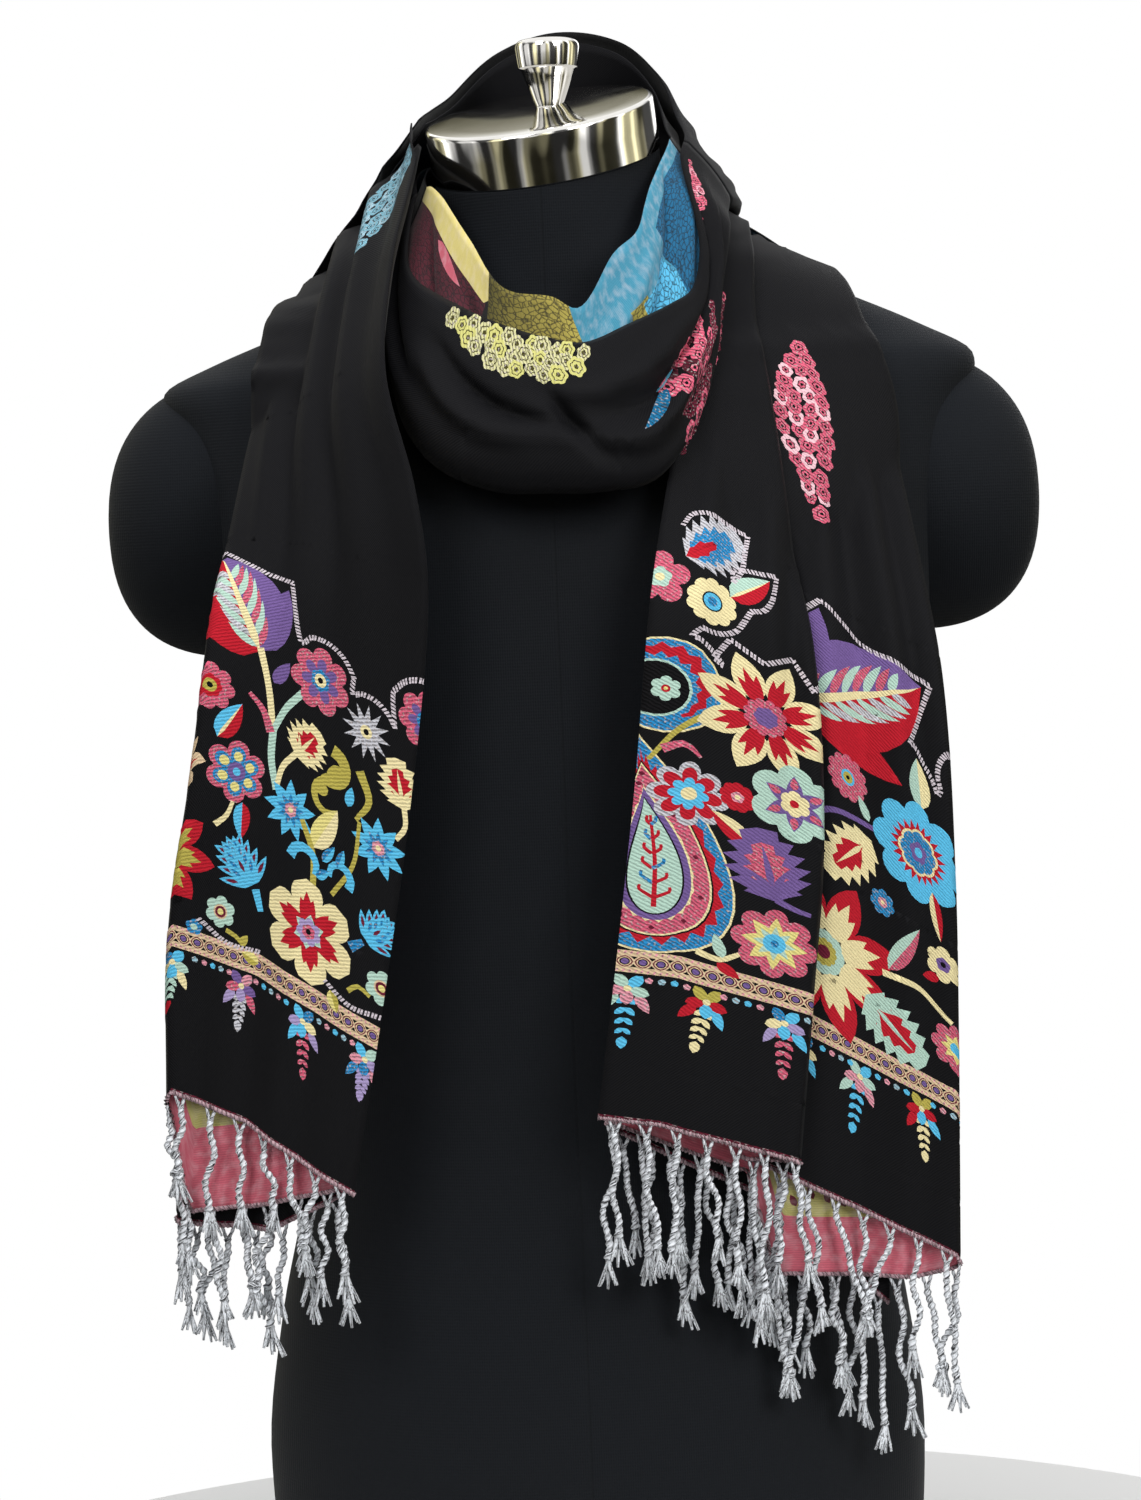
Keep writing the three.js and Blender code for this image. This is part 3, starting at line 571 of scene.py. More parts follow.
def neck_stretch(rows, folds):
    """The points of a stretch round the neck, [angle][down the inner layer, round the fold, up to the
    rim]."""
    first, last = rows["angle"][0] + STRETCH_GAP, rows["angle"][-1] - STRETCH_GAP
    angle = np.linspace(first, last, round((last - first) / NECK_SECTION_TURN) + 1)[:, None]
    row = along(rows, angle)
    gap = row["gap"]
    tall = float(np.mean(row["iz"] - row["fz"]))
    t = np.linspace(0, 1, max(8, round(tall / GRID_STEP)) + 1)[None, :]
    inner_r = row["ir"] + (row["fr"] - gap - row["ir"]) * t - np.sin(math.pi * t) * gap * 0.25
    inner_z = row["iz"] + (row["fz"] + gap - row["iz"]) * t
    inner_r = inner_r + ridges(folds, angle, 1 - t)
    bend = np.radians(np.linspace(25, 165, 7))[None, :]
    fold_r = row["fr"] - gap / 2 - gap / 2 * np.cos(bend)
    fold_z = row["fz"] + gap * (1 - 0.9 * np.sin(bend))
    t = np.linspace(0, 1, max(8, round(tall * 1.1 / GRID_STEP)) + 1)[None, :]
    outer_r = row["fr"] + (row["rr"] - row["fr"]) * t + np.sin(math.pi * t) * gap * 0.3
    outer_r = outer_r + ridges(folds, angle, t)
    outer_z = row["fz"] + gap + (row["rz"] - row["fz"] - gap) * t
    room = row["rr"] - row["ir"]
    above = np.maximum(0, row["iz"] - row["rz"])
    room = room - (row["fr"] - gap - row["ir"]) * above / (row["iz"] - row["fz"] - gap)
    lip = np.minimum(gap * 0.3, room * 0.25)
    turn = np.radians(np.array([40, 80, 120]))[None, :]
    lip_r = row["rr"] - lip * (1 - np.cos(turn)) * 0.9
    lip_z = row["rz"] + lip * np.sin(turn) * 0.7
    radius = np.concatenate([inner_r, fold_r, outer_r, lip_r], axis=1)
    height = np.concatenate([inner_z, fold_z, outer_z, lip_z], axis=1)
    turning = LAYER_PITCH * (1 - np.cos(bend)) / 2 + 0 * fold_r
    outside = LAYER_PITCH + 0 * np.concatenate([outer_r, lip_r], axis=1)
    lift = np.concatenate([0 * inner_r, turning, outside], axis=1)
    a = np.radians(angle)
    points = np.stack([radius * np.sin(a), -radius * np.cos(a), height], axis=-1)
    return rest_on_torso(points, FORM_CLEARANCE + 1 + lift)


def neighbours(count, i):
    """The four rows round each fractional place among count rows, and their weights on a smooth curve."""
    last = count - 1
    k = np.clip(np.floor(i).astype(int), 0, last - 1)
    t = i - k
    return [np.clip(k + d, 0, last) for d in (-1, 0, 1, 2)], [
        -0.5 * t + t**2 - 0.5 * t**3,
        1 - 2.5 * t**2 + 1.5 * t**3,
        0.5 * t + 2 * t**2 - 1.5 * t**3,
        -0.5 * t**2 + 0.5 * t**3,
    ]


class Shape:
    """A curved piece of cloth as a map from flat places, in mm, to points: across from the first edge, up
    from the hem. A column's own length rules near the hem, so the weave isn't stretched where the hem hangs
    low."""

    def __init__(self, grid, hem_first=True):
        self.grid = grid
        widths = np.linalg.norm(np.diff(grid, axis=1), axis=-1).mean(axis=0)
        self.across = np.concatenate([[0], np.cumsum(widths)])
        lengths = np.linalg.norm(np.diff(grid, axis=0), axis=-1)
        self.up = np.concatenate([np.zeros((1, grid.shape[1])), np.cumsum(lengths, axis=0)])
        self.width = float(self.across[-1])
        self.length = float(np.median(self.up[-1]))
        steps = round(self.length / GRID_STEP)
        level = np.linspace(0, self.length, steps + 1)
        self.even = np.empty((steps + 1, grid.shape[1], 3))
        for j in range(grid.shape[1]):
            extra = self.up[-1, j] - self.length
            if hem_first:
                own = level + extra * smooth_step((level / self.length - 0.35) / 0.65)
            else:
                own = level * self.up[-1, j] / self.length
            for c in range(3):
                self.even[:, j, c] = np.interp(own, self.up[:, j], grid[:, j, c])

    def at(self, flat):
        """The points at flat places [n][across, up]."""
        i = np.clip(flat[:, 1] / self.length, 0, 1) * (self.even.shape[0] - 1)
        j = np.interp(flat[:, 0], self.across, np.arange(len(self.across)))
        rows, row_weights = neighbours(self.even.shape[0], i)
        columns, column_weights = neighbours(self.even.shape[1], j)
        found = 0
        for r, a in zip(rows, row_weights):
            for c, b in zip(columns, column_weights):
                found = found + self.even[r, c] * (a * b)[:, None]
        return found


# ---- the stole: how its figures are woven ----
# A black twill ground of fine wool and silk yarns. Coloured wefts come to the face where there is a figure
# and float in broad stripes on the reverse elsewhere. The figures are part of the cloth: its mesh is cut
# along them.
SOLID_DYES = {
    "ground": "0b0b0d",
    "cream": "f6e7b0",
    "sand": "e3c8a2",
    "olive": "bfb254",
    "lime": "cdca7c",
    "lemon": "ede08c",
    "red": "c2202f",
    "maroon": "702236",
    "mint": "bbdccb",
    "sky": "60c6f0",
    "purple": "785f9b",
    "violet": "ae9dcb",
    "cord": "d8cdd4",
    "pink cloth": "dd6e80",
    "blue cloth": "489ab6",
    "blush": "efc3cb",
}
FLECKED_DYES = {
    "pink": "e0647f",
    "rose": "f0a0b0",
    "ice": "a6cedd",
    "mist": "84bccf",
    "blue": "2d90cc",
    "teal": "1b6a94",
    "silver": "d3d3da",
    "moss": "bfb254",
    # dark moss is also laid as painted shade at the low end of the cowl's moss field.
    "dark moss": "4e4a22",
    "straw": "d2cf9b",
    "wine": "541e2b",
    # dusk is also laid for two sprays by the cowl, where its dark maroon stands in for pink in shade:
    # painted shade.
    "dusk": "702236",
    "water": "60c6f0",
}
FLECKED = 0.5
DYES = {name: linear(tone_and_seam_shade) for name, tone_and_seam_shade in SOLID_DYES.items()}
DYES.update({name: linear(tone_and_seam_shade, FLECKED) for name, tone_and_seam_shade in FLECKED_DYES.items()})


class Art:
    """The woven figures of a piece from the ground up: outlines in flat mm, with one colour or two that run
    into each other. The reverse has its own."""

    def __init__(self):
        self.face, self.reverse = [], []

    def lay(self, outline, colour, far=None, run=None, side="face"):
        """Adds an outline. run is the line along which colour turns into far."""
        start, end = ((0, 0), (0, 1)) if run is None else run
        figures = self.face if side == "face" else self.reverse
        outline = np.asarray(outline, float)
        figures.append((outline, DYES[colour], DYES[far or colour], np.array(start), np.array(end)))

    def stripe(self, start, end, colour, side="face", across=(-5, 600)):
        """A straight stripe across the piece from one height above the hem to another."""
        low, high = across
        self.lay([(low, start), (high, start), (high, end), (low, end)], colour, side=side)


def cut_fine(outline):
    """The outline with its long straights cut into short steps, so that it bends with the cloth."""
    steps = []
    for start, end in zip(outline, np.roll(outline, -1, axis=0)):
        count = max(1, math.ceil(np.hypot(*(end - start)) / GRID_STEP))
        steps.append(start + (end - start) * (np.arange(count) / count)[:, None])
    return np.concatenate(steps)


def holds(outline, places):
    """Which places lie inside an outline."""
    x, y = places.T
    inside = np.zeros(len(places), bool)
    for (x0, y0), (x1, y1) in zip(outline, np.roll(outline, -1, axis=0)):
        if y0 != y1:
            inside ^= ((y0 > y) != (y1 > y)) & (x < x0 + (x1 - x0) * (y - y0) / (y1 - y0))
    return inside


CUT_OVERLAP = 3
CUT_MERGE = 0.02


def weave(name, shape, art, flip):
    """A thin closed shell of cloth whose faces are cut along the outlines of its woven figures."""
    size = np.array([shape.width, shape.length])
    columns, rows = (np.linspace(0, s, round(s / GRID_STEP) + 1) for s in size)
    u, v = np.meshgrid(columns, rows)
    points = list(zip(u.ravel(), v.ravel()))
    corner = np.array([(0, 0), (size[0], 0), size, (0, size[1])])
    edges = []
    for outline in [corner] + [figure[0] for figure in art.reverse + art.face]:
        outline = np.clip(cut_fine(outline), -CUT_OVERLAP, size + CUT_OVERLAP)
        first, count = len(points), len(outline)
        edges += [(first + k, first + (k + 1) % count) for k in range(count)]
        points += [tuple(p) for p in outline]
    points = [Vector(p) for p in points]
    flat, _, triangles, _, _, _ = geometry.delaunay_2d_cdt(points, edges, [], 0, CUT_MERGE, False)
    flat, triangles = np.array([tuple(p) for p in flat]), np.array(triangles)
    centres = flat[triangles].mean(axis=1)
    kept = holds(corner, centres)
    triangles, centres = triangles[kept], centres[kept]
    triangles = triangles[:, ::-1] if flip else triangles
    body = new_object(name, shape.at(flat) * MM, triangles.tolist())
    mesh = body.data
    corners = flat[triangles.ravel()]
    for title, figures in (("face", art.face), ("reverse", art.reverse)):
        colours = np.tile(np.array((*DYES["ground"][:3], 0.0)), (len(centres), 3, 1))
        for outline, near, far, start, end in figures:
            low, high = outline.min(axis=0), outline.max(axis=0)
            mine = np.flatnonzero(np.all((centres > low) & (centres < high), axis=1))
            mine = mine[holds(outline, centres[mine])]
            run = end - start
            t = np.clip((flat[triangles[mine]] - start) @ run / max(run @ run, 1e-9), 0, 1)[..., None]
            colours[mine] = np.array(near) + (np.array(far) - np.array(near)) * t
        layer = mesh.color_attributes.new(title, "FLOAT_COLOR", "CORNER")
        layer.data.foreach_set("color", colours.astype(np.float32).ravel())
    yarns = mesh.uv_layers.new(name="yarns")
    yarns.data.foreach_set("uv", (corners * MM).astype(np.float32).ravel())
    for finish in cloth_finishes:
        mesh.materials.append(finish)
    bpy.context.view_layer.objects.active = body
    thick = body.modifiers.new("thickness", "SOLIDIFY")
    thick.thickness, thick.offset = CLOTH * MM, 0
    thick.material_offset = 1
    bpy.ops.object.modifier_apply(modifier=thick.name)
    mesh.shade_smooth()
    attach(body, "root")
    return body


def woven_dyes(nodes, layer):
    """A colour layer of the cloth: its colour, whether a coloured thread shows, and whether it is
    flecked."""
    dye = nodes.tree.nodes.new("ShaderNodeVertexColor")
    dye.layer_name = layer
    colour, mark = Value(nodes, dye.outputs["Color"]), Value(nodes, dye.outputs["Alpha"])
    shows = mark.math("GREATER_THAN", FLECKED / 2)
    return colour, shows, (shows - mark) * 2


def face_finish():
    """The face: a black twill ground in which coloured weft threads make the figures."""
    nodes = Nodes("stole face")
    flat = nodes.add("ShaderNodeUVMap", {"uv_map": "yarns"})
    colour, figure, flecked = woven_dyes(nodes, "face")
    turned = nodes.add("ShaderNodeMapping", {}, {0: flat, "Rotation": (0, 0, math.radians(38))})
    twill = nodes.wave(turned, 330.0, 0.6, 1.0)
    leaned = nodes.add("ShaderNodeMapping", {}, {0: flat, "Rotation": (0, 0, math.radians(-62))})
    threads = nodes.wave(leaned, 190.0, 2.2, 1.0, 2.5)
    flecks = nodes.noise(flat, 900.0, 0.0)
    cloudy = nodes.noise(flat, 24.0, 3.0)
    dark = (threads * 1.3 + flecks * 2.2 - 1.55).held() * (0.16 + flecked * 0.6)
    bright = (flecks * 3.4 - 1.9).held() * flecked * 0.55
    lit = nodes.mix(dark, colour, linear("1d1719"))
    lit = nodes.mix(bright, lit, linear("f3e6e2"))
    black = nodes.mix(twill * 0.5 + cloudy * 0.4, linear("07070a"), linear("141416"))
    raised = twill * (0.4 - figure * 0.3) + figure * (0.9 + threads * 0.9 + flecks * 0.4)
    return nodes.finish(
        Base_Color=nodes.mix(figure, black, lit),
        Normal=nodes.bump(raised, 0.5, 0.0005),
        Roughness=0.6 + figure * 0.1 + cloudy * 0.12,
        Sheen_Weight=0.02,
        Sheen_Roughness=0.4,
        Specular_IOR_Level=0.09,
    )


def reverse_finish():
    """The reverse: coloured wefts float behind the ground in broad stripes, drawn in dark where the ground
    shows between the figures' threads."""
    nodes = Nodes("stole reverse")
    flat = nodes.add("ShaderNodeUVMap", {"uv_map": "yarns"})
    colour, striped, drawn = woven_dyes(nodes, "reverse")
    picks = nodes.wave(flat, 260.0, 1.4, 1.0, 3.0, "Y")
    leaned = nodes.add("ShaderNodeMapping", {}, {0: flat, "Scale": (1, 0.5, 1), "Rotation": (0, 0, 0.7)})
    edges = {"feature": "DISTANCE_TO_EDGE"}
    cells = nodes.add("ShaderNodeTexVoronoi", edges, {0: leaned, "Scale": 430.0})
    cloudy = nodes.noise(flat, 60.0, 3.0)
    specks = nodes.noise(flat, 700.0, 1.0)
    lines = (0.3 + specks * 1.1 - cells * 6.0).held(0.9) * drawn
    soft = nodes.mix(picks * 0.3 + cloudy * 0.5, colour, linear("b4a8aa"), "MULTIPLY")
    fluff = nodes.noise(flat, 170.0, 4.0)
    fluff = (fluff * 0.9 - 0.4).math("MAXIMUM", 0.0) * striped * (1 - drawn)
    soft = nodes.mix(fluff, soft, linear("e6d8dc"))
    soft = nodes.mix(lines, soft, linear("0e1013"))
    return nodes.finish(
        Base_Color=nodes.mix(striped, linear("0a0a0c"), soft),
        Normal=nodes.bump(picks * 0.5 + cloudy * 0.5 - lines, 0.4, 0.0004),
        Roughness=0.66 + cloudy * 0.12,
        Sheen_Weight=0.1,
        Specular_IOR_Level=0.3,
    )


cloth_finishes = [face_finish(), reverse_finish()]


def aimed(outline, at, ahead):
    """An outline drawn with y ahead from the origin, moved to a place and turned."""
    ahead = np.asarray(ahead, float) / np.hypot(*ahead)
    side = np.array([ahead[1], -ahead[0]])
    return np.asarray(at, float) + outline[:, :1] * side + outline[:, 1:] * ahead


def bearing(degrees):
    return np.array([math.sin(math.radians(degrees)), math.cos(math.radians(degrees))])


def degrees(way):
    """The bearing of a direction, in degrees from straight up."""
    return math.degrees(math.atan2(*way))


def petal(long, wide, base=0.6, tip=0.8, steps=7):
    """A petal from the origin. base and tip are 0.5 where it is round and about 1 where it is pointed."""
    t = np.linspace(0, 1, steps + 1)
    half = t**base * (1 - t) ** tip
    half = half / half.max() * wide / 2
    up = np.stack([-half, t * long], axis=-1)
    return np.concatenate([up, (up * [-1, 1])[-2:0:-1]])


def rim(radius, lobes, depth, form="round"):
    """A closed outline round the origin with round lobes, pointed rays or teeth."""
    steps = {"round": 8 if radius > 6 else 5, "ray": 6, "tooth": 2}[form] * lobes if lobes else 20
    a = np.arange(steps) * 2 * math.pi / steps
    if not lobes:
        r = 1 + 0 * a
    elif form == "round":
        r = 1 - depth * (1 - np.abs(np.cos(lobes * a / 2)) ** 0.7)
    else:
        saw = 1 - np.abs(1 - 2 * ((lobes * a / (2 * math.pi)) % 1))
        r = 1 - depth * (saw**0.8 if form == "ray" else saw)
    return radius * r[:, None] * np.stack([np.sin(a), np.cos(a)], axis=-1)


def smooth_path(points, step):
    """A curve through the points, with its direction at each place."""
    p = np.asarray(points, float)
    p = np.vstack([2 * p[0] - p[1], p, 2 * p[-1] - p[-2]])
    path = []
    for a, b, c, d in zip(p, p[1:], p[2:], p[3:]):
        t = np.arange(max(2, round(np.hypot(*(c - b)) / step)))[:, None]
        t = t / len(t)
        square, cube = 2 * a - 5 * b + 4 * c - d, d - 3 * c + 3 * b - a
        path.append((2 * b + (c - a) * t + square * t**2 + cube * t**3) / 2)
    path = np.concatenate(path + [p[-2:-1]])
    return path, unit(np.gradient(path, axis=0))


def stem(art, points, colour, wide=3.0, thin=1.6):
    path, ahead = smooth_path(points, 3)
    side = np.stack([ahead[:, 1], -ahead[:, 0]], axis=-1)
    half = np.linspace(wide, thin, len(path))[:, None] / 2
    art.lay(np.concatenate([path + side * half, (path - side * half)[::-1]]), colour)


def flower(art, at, radius, *layers, turn=0):
    """A flower seen from above. A layer is its share of the radius, its colour, and its lobes, depth and
    form."""
    for share, colour, *rest in layers:
        art.lay(aimed(rim(radius * share, *(rest or (0, 0))), at, bearing(turn)), colour)


def rosette(art, at, radius, count, colour, wide, flame=None, turn=0, tip=0.8, heart=0.25, fingers=0.3):
    """A flower of separate petals. A flame is a hand of three fingers that runs up each petal from its
    foot."""
    for k in range(count):
        way = turn + 360 * k / count
        start = np.asarray(at) + bearing(way) * radius * heart
        long = radius * (1 - heart)
        art.lay(aimed(petal(long, wide, 0.75, tip), start, bearing(way)), colour)
        for lean, share in ((-19, 0.56), (19, 0.56), (0, 0.7)) if flame else ():
            finger = petal(long * share, wide * fingers, 0.4, 1.0, 5)
            art.lay(aimed(finger, start, bearing(way + lean)), flame)


def leaf(art, base, tip, wide, left, right=None, vein=None, teeth=0, foot=0.6, point=0.9):
    """A leaf from base to tip in two halves, its edges smooth or cut into teeth that point ahead."""
    base, tip = np.array([base, tip], float)
    long = np.hypot(*(tip - base))
    t = np.linspace(0, 1, (2 * teeth if teeth else 8) + 1)
    half = t**foot * (1 - t) ** point
    half = half / half.max() * wide / 2
    along_it = t * long
    if teeth:
        out = np.arange(len(t)) % 2 == 1
        half = half * np.where(out, 1.1, 0.72)
        along_it = along_it + np.where(out, 0.5, -0.1) * long / len(t) * (half > 0)
    for side, colour in ((-1, left), (1, right or left)):
        edge = np.stack([side * half, along_it], axis=-1)
        art.lay(aimed(np.concatenate([edge, [(0, long), (0, 0)]]), base, tip - base), colour)
    if vein:
        midrib = petal(long * 0.96, max(1.6, wide * 0.09), 0.15, 0.8, 5)
        art.lay(aimed(midrib, base, tip - base), vein)


def crest(art, base, tip, wide, colour, inner):
    """A jagged leaf like a maple's, with a jagged heart and veins."""
    base, tip = np.array([base, tip], float)
    leaf(art, base, tip, wide, colour, teeth=6, foot=0.42, point=0.6)
    heart = (base + (tip - base) * 0.2, base + (tip - base) * 0.8)
    leaf(art, *heart, wide * 0.55, inner, teeth=4, foot=0.4, point=0.7)
    for lean, reach in ((-42, 0.4), (42, 0.4), (0, 0.62)):
        way = bearing(degrees(tip - base) + lean)
        vein = petal(np.hypot(*(tip - base)) * reach, wide * 0.1, 0.3, 1, 4)
        art.lay(aimed(vein, base + (tip - base) * 0.16, way), colour)


def plume(art, base, tip, wide, colour, other, rows=4):
    """A chrysanthemum or thistle head: rows of pointed petals, the lowest widest."""
    base, tip = np.array([base, tip], float)
    long = np.hypot(*(tip - base))
    way = degrees(tip - base)
    for row in range(rows):
        at = base + (tip - base) * (0.62 - 0.62 * row / rows)
        for k in range(-2, 3):
            lean = k * (18 + 14 * row / rows)
            reach = long * (0.42 + 0.05 * row) * (1 - 0.05 * abs(k)) + wide * 0.1 * (abs(k) > 1)
            art.lay(aimed(petal(reach, wide * 0.2, 0.5, 0.8, 5), at, bearing(way + lean)), colour)
            stroke = petal(reach * 0.42, wide * 0.08, 0.5, 0.8, 3)
            place = at + bearing(way + lean) * reach * 0.4
            art.lay(aimed(stroke, place, bearing(way + lean)), (other, "blue")[k % 2])


def raceme(art, top, lean, long, wide, colour, pairs=4, end=None):
    """A hanging chain of paired leaflets."""
    down = bearing(180 + lean)
    for k in range(pairs):
        at = np.asarray(top) + down * long * k / (pairs + 0.4)
        size = 1 - 0.4 * abs(k / pairs - 0.2)
        for side in (-1, 1):
            spot = petal(wide * 0.66 * size, wide * 0.36 * size, 0.5, 0.6, 4)
            art.lay(aimed(spot, at, bearing(180 + lean + side * 44)), colour)
    at = np.asarray(top) + down * long * pairs / (pairs + 0.4)
    art.lay(aimed(petal(wide * 0.8, wide * 0.5, 0.5, 0.7, 4), at - down, down), end or colour)


SPRAY_TOP = 71
SPRAYS = {
    "pink": (("sky", "violet", "sky", "cream", "blue"), "pink", None, 1.2),
    "silver": (("purple", "pink", "violet", "purple", "rose"), "silver", None, 0.9),
    "mint": (("blue", "cream", "sky", "mint", "sky"), "mint", "red", 0.95),
    "sky": (("sky", "mint", "rose", "rose", "mint"), "sky", None, 1.35),
    "cream": (("olive", "red", "sky", "red", "olive"), "cream", None, 1.1),
    "violet": (("sky", "rose", "blue", "violet", "mint"), "violet", None, 0.75),
}


def spray(art, u, kind, lean=0):
    """One of the sprays that hang below the border, from its crown of petals to its end."""
    crown, raceme_colour, end, size = SPRAYS[kind]
    heart = np.array([u, SPRAY_TOP]) - bearing(lean) * 5
    hang = heart - bearing(lean) * 4.5
    for side, colour in ((-1, crown[1]), (1, crown[2])):
        sepal = aimed(
            petal(10.5, 4.4, 0.6, 0.9, 5), hang + (side * 3.2, 2), bearing(180 + lean - side * 30),
        )
        art.lay(sepal, colour)
    raceme(art, hang, lean, 17 * size, 7.8, raceme_colour, 4, end)
    for k, colour in enumerate(crown):
        way = bearing(360 * k / len(crown) + 36)
        art.lay(aimed(petal(7.6, 4.8, 0.6, 0.6, 5), heart + way * 0.7, way), colour)
    flower(art, heart, 1.5, (1, "cream"))


BAND_LOW, BAND_HIGH = 74, 85
LOZENGE = ((1, "maroon", 4, 0.1, "ray"), (0.82, "sand", 4, 0.1, "ray"), (0.62, "ground"), (0.46, "purple"))


def border(art, width, sprays):
    """The border near the hem: the hem's own edge, hanging sprays, and a band of purple lozenges between
    rails."""
    art.stripe(-1, 1.8, "dusk")
    places = [5 + (width - 8) * k / (len(sprays) - 1) for k in range(len(sprays))]
    for k, (u, kind) in enumerate(zip(places, sprays)):
        spray(art, u, kind, 7 * math.sin(1.7 * k))
    for k, u in enumerate(np.arange(3, width, 4.6)):
        if all(abs(u - place) > 5.5 for place in places):
            flower(art, (u, BAND_LOW - 3.2), 1.5, (1, ("ice", "sky", "rose")[k % 3], 5, 0.2))
    art.stripe(BAND_LOW, BAND_HIGH, "sand")
    for u in np.arange(3, width, 6.4):
        middle = (BAND_LOW + BAND_HIGH) / 2
        flower(art, (u, middle), 2.9, *LOZENGE)
        for side in (-1, 1):
            far, near = middle + side * 2.7, middle + side * 1.1
            art.lay([(u + 1.9, far), (u + 4.5, far), (u + 3.2, near)], "ground")
    for start in (BAND_LOW + 0.3, BAND_HIGH - 1.6):
        for u in np.arange(0, width, 2.2):
            art.lay([(u, start), (u + 0.8, start), (u + 1.3, start + 1.3), (u + 0.5, start + 1.3)], "rose")


def between(start, end, bend=0.0):
    """The places of an even arc between two places, bent to its right by a share of its length."""
    start, end = np.array([start, end], float)
    way = end - start
    return [start, (start + end) / 2 + np.array([way[1], -way[0]]) * bend, end]


def curl(centre, radius, start, turn, steps=6):
    """Places on an arc round a centre, from a bearing through a turn."""
    return [np.asarray(centre) + bearing(start + turn * t) * radius for t in np.linspace(0, 1, steps)]


def beside(base, tip, wide, side, room=4.0):
    """Places that run up one side of a leaf, clear of it, and end past its tip."""
    base, tip = np.array([base, tip], float)
    ahead = unit(tip - base)
    out = np.array([ahead[1], -ahead[0]]) * side
    flank = []
    for t in (0.2, 0.45, 0.7, 0.88):
        flank.append(base + (tip - base) * t + out * (wide / 2 * math.sin(math.pi * t**0.8) + room))
    return flank + [tip + ahead * room * 1.3]


def distances(path):
    """How far along a path each of its points lies."""
    return np.concatenate([[0], np.cumsum(np.linalg.norm(np.diff(path, axis=0), axis=-1))])


CORD_PITCH = 1.75


def corded(art, *runs):
    """The outlining cord: slanted light stitches side by side along smooth runs with corners between
    them."""
    at = None
    for run in runs:
        joined = at is not None and np.hypot(*np.subtract(run[0], at)) > 0.5
        path, ahead = smooth_path([at, *run] if joined else run, 0.5)
        gone = distances(path)
        for s in np.arange(CORD_PITCH / 2, gone[-1], CORD_PITCH):
            n = np.searchsorted(gone, s)
            stitch = np.array([(-1.25, -1.0), (-1.25, 0.1), (1.25, 1.0), (1.25, -0.1)])
            art.lay(aimed(stitch, path[n], ahead[n]), "cord")
        at = run[-1]


def field(art, colour, across, up, lean=0.0, wave=0.0, far=None):
    """A broad field of floating weft on the reverse, with leaned and softly waved ends."""
    t = np.linspace(0, 1, 9)
    u = across[0] + (across[1] - across[0]) * t
    low = np.stack([u, up[0] + lean * t + wave * np.sin(3 * math.pi * t)], axis=-1)
    high = np.stack([u, up[1] + lean * t + wave * np.sin(3 * math.pi * t + 1)], axis=-1)
    art.lay(np.concatenate([low, high[::-1]]), colour, far, (low[0], high[0]), "reverse")


def ribs(art, base, tip, side, reaches, colours, lean=48, thick=4.2):
    """Curved side veins of a big leaf, from its foot up, on one side of the midrib."""
    base, tip = np.array([base, tip], float)
    way = degrees(tip - base)
    for k, reach in enumerate(reaches):
        at = base + (tip - base) * (0.04 + 0.78 * k / len(reaches))
        rib = petal(reach, thick, 0.7, 0.9, 6)
        rib[:, 0] -= side * 0.012 * rib[:, 1] ** 2
        art.lay(aimed(rib, at, bearing(way + side * lean)), colours[k % len(colours)])


HORN_LEAN, HORN_REACH = 44, 0.7


def horn_tip(base, tip, side, room=0.0):
    """Where a horn of a big striped leaf ends, or a place past it."""
    way = degrees(np.subtract(tip, base))
    reach = HORN_REACH * np.hypot(*np.subtract(tip, base)) + room
    return np.asarray(base) + bearing(way + side * HORN_LEAN) * reach


def banner(art, base, tip, wide):
    """A big striped leaf: a purple half and a red half, each horned at its foot, with ribs and a pale
    midrib."""
    base, tip = np.array([base, tip], float)
    long = np.hypot(*(tip - base))
    way = degrees(tip - base)
    for side, colour in ((-1, "purple"), (1, "red")):
        horn = petal(long * HORN_REACH, wide * 0.42, 0.6, 0.9)
        art.lay(aimed(horn, base, bearing(way + side * HORN_LEAN)), colour)
    leaf(art, base, tip, wide, "purple", "red", foot=0.55, point=0.8)
    for side, colours in ((-1, ("pink", "mint")), (1, ("mint", "silver"))):
        reaches = [wide * 0.5 * math.sin(math.pi * (0.28 + 0.08 * k)) for k in range(8)]
        ribs(art, base, tip, side, reaches, colours, 46, wide * 0.085)
    art.lay(aimed(petal(long * 0.98, 4.2, 0.1, 0.7), base, tip - base), "cream")


def drop(wide, tall, lean, steps=40):
    """The outline of a paisley: a drop with its round end at the origin and a tip that leans over."""
    a = np.arange(steps) * 2 * math.pi / steps
    x = wide / 1.38 * np.sin(a) * np.abs(np.sin(a / 2)) ** 1.3
    y = tall * (1 + np.cos(a)) / 2
    return np.stack([x + lean * (y / tall) ** 2.4, y], axis=-1)


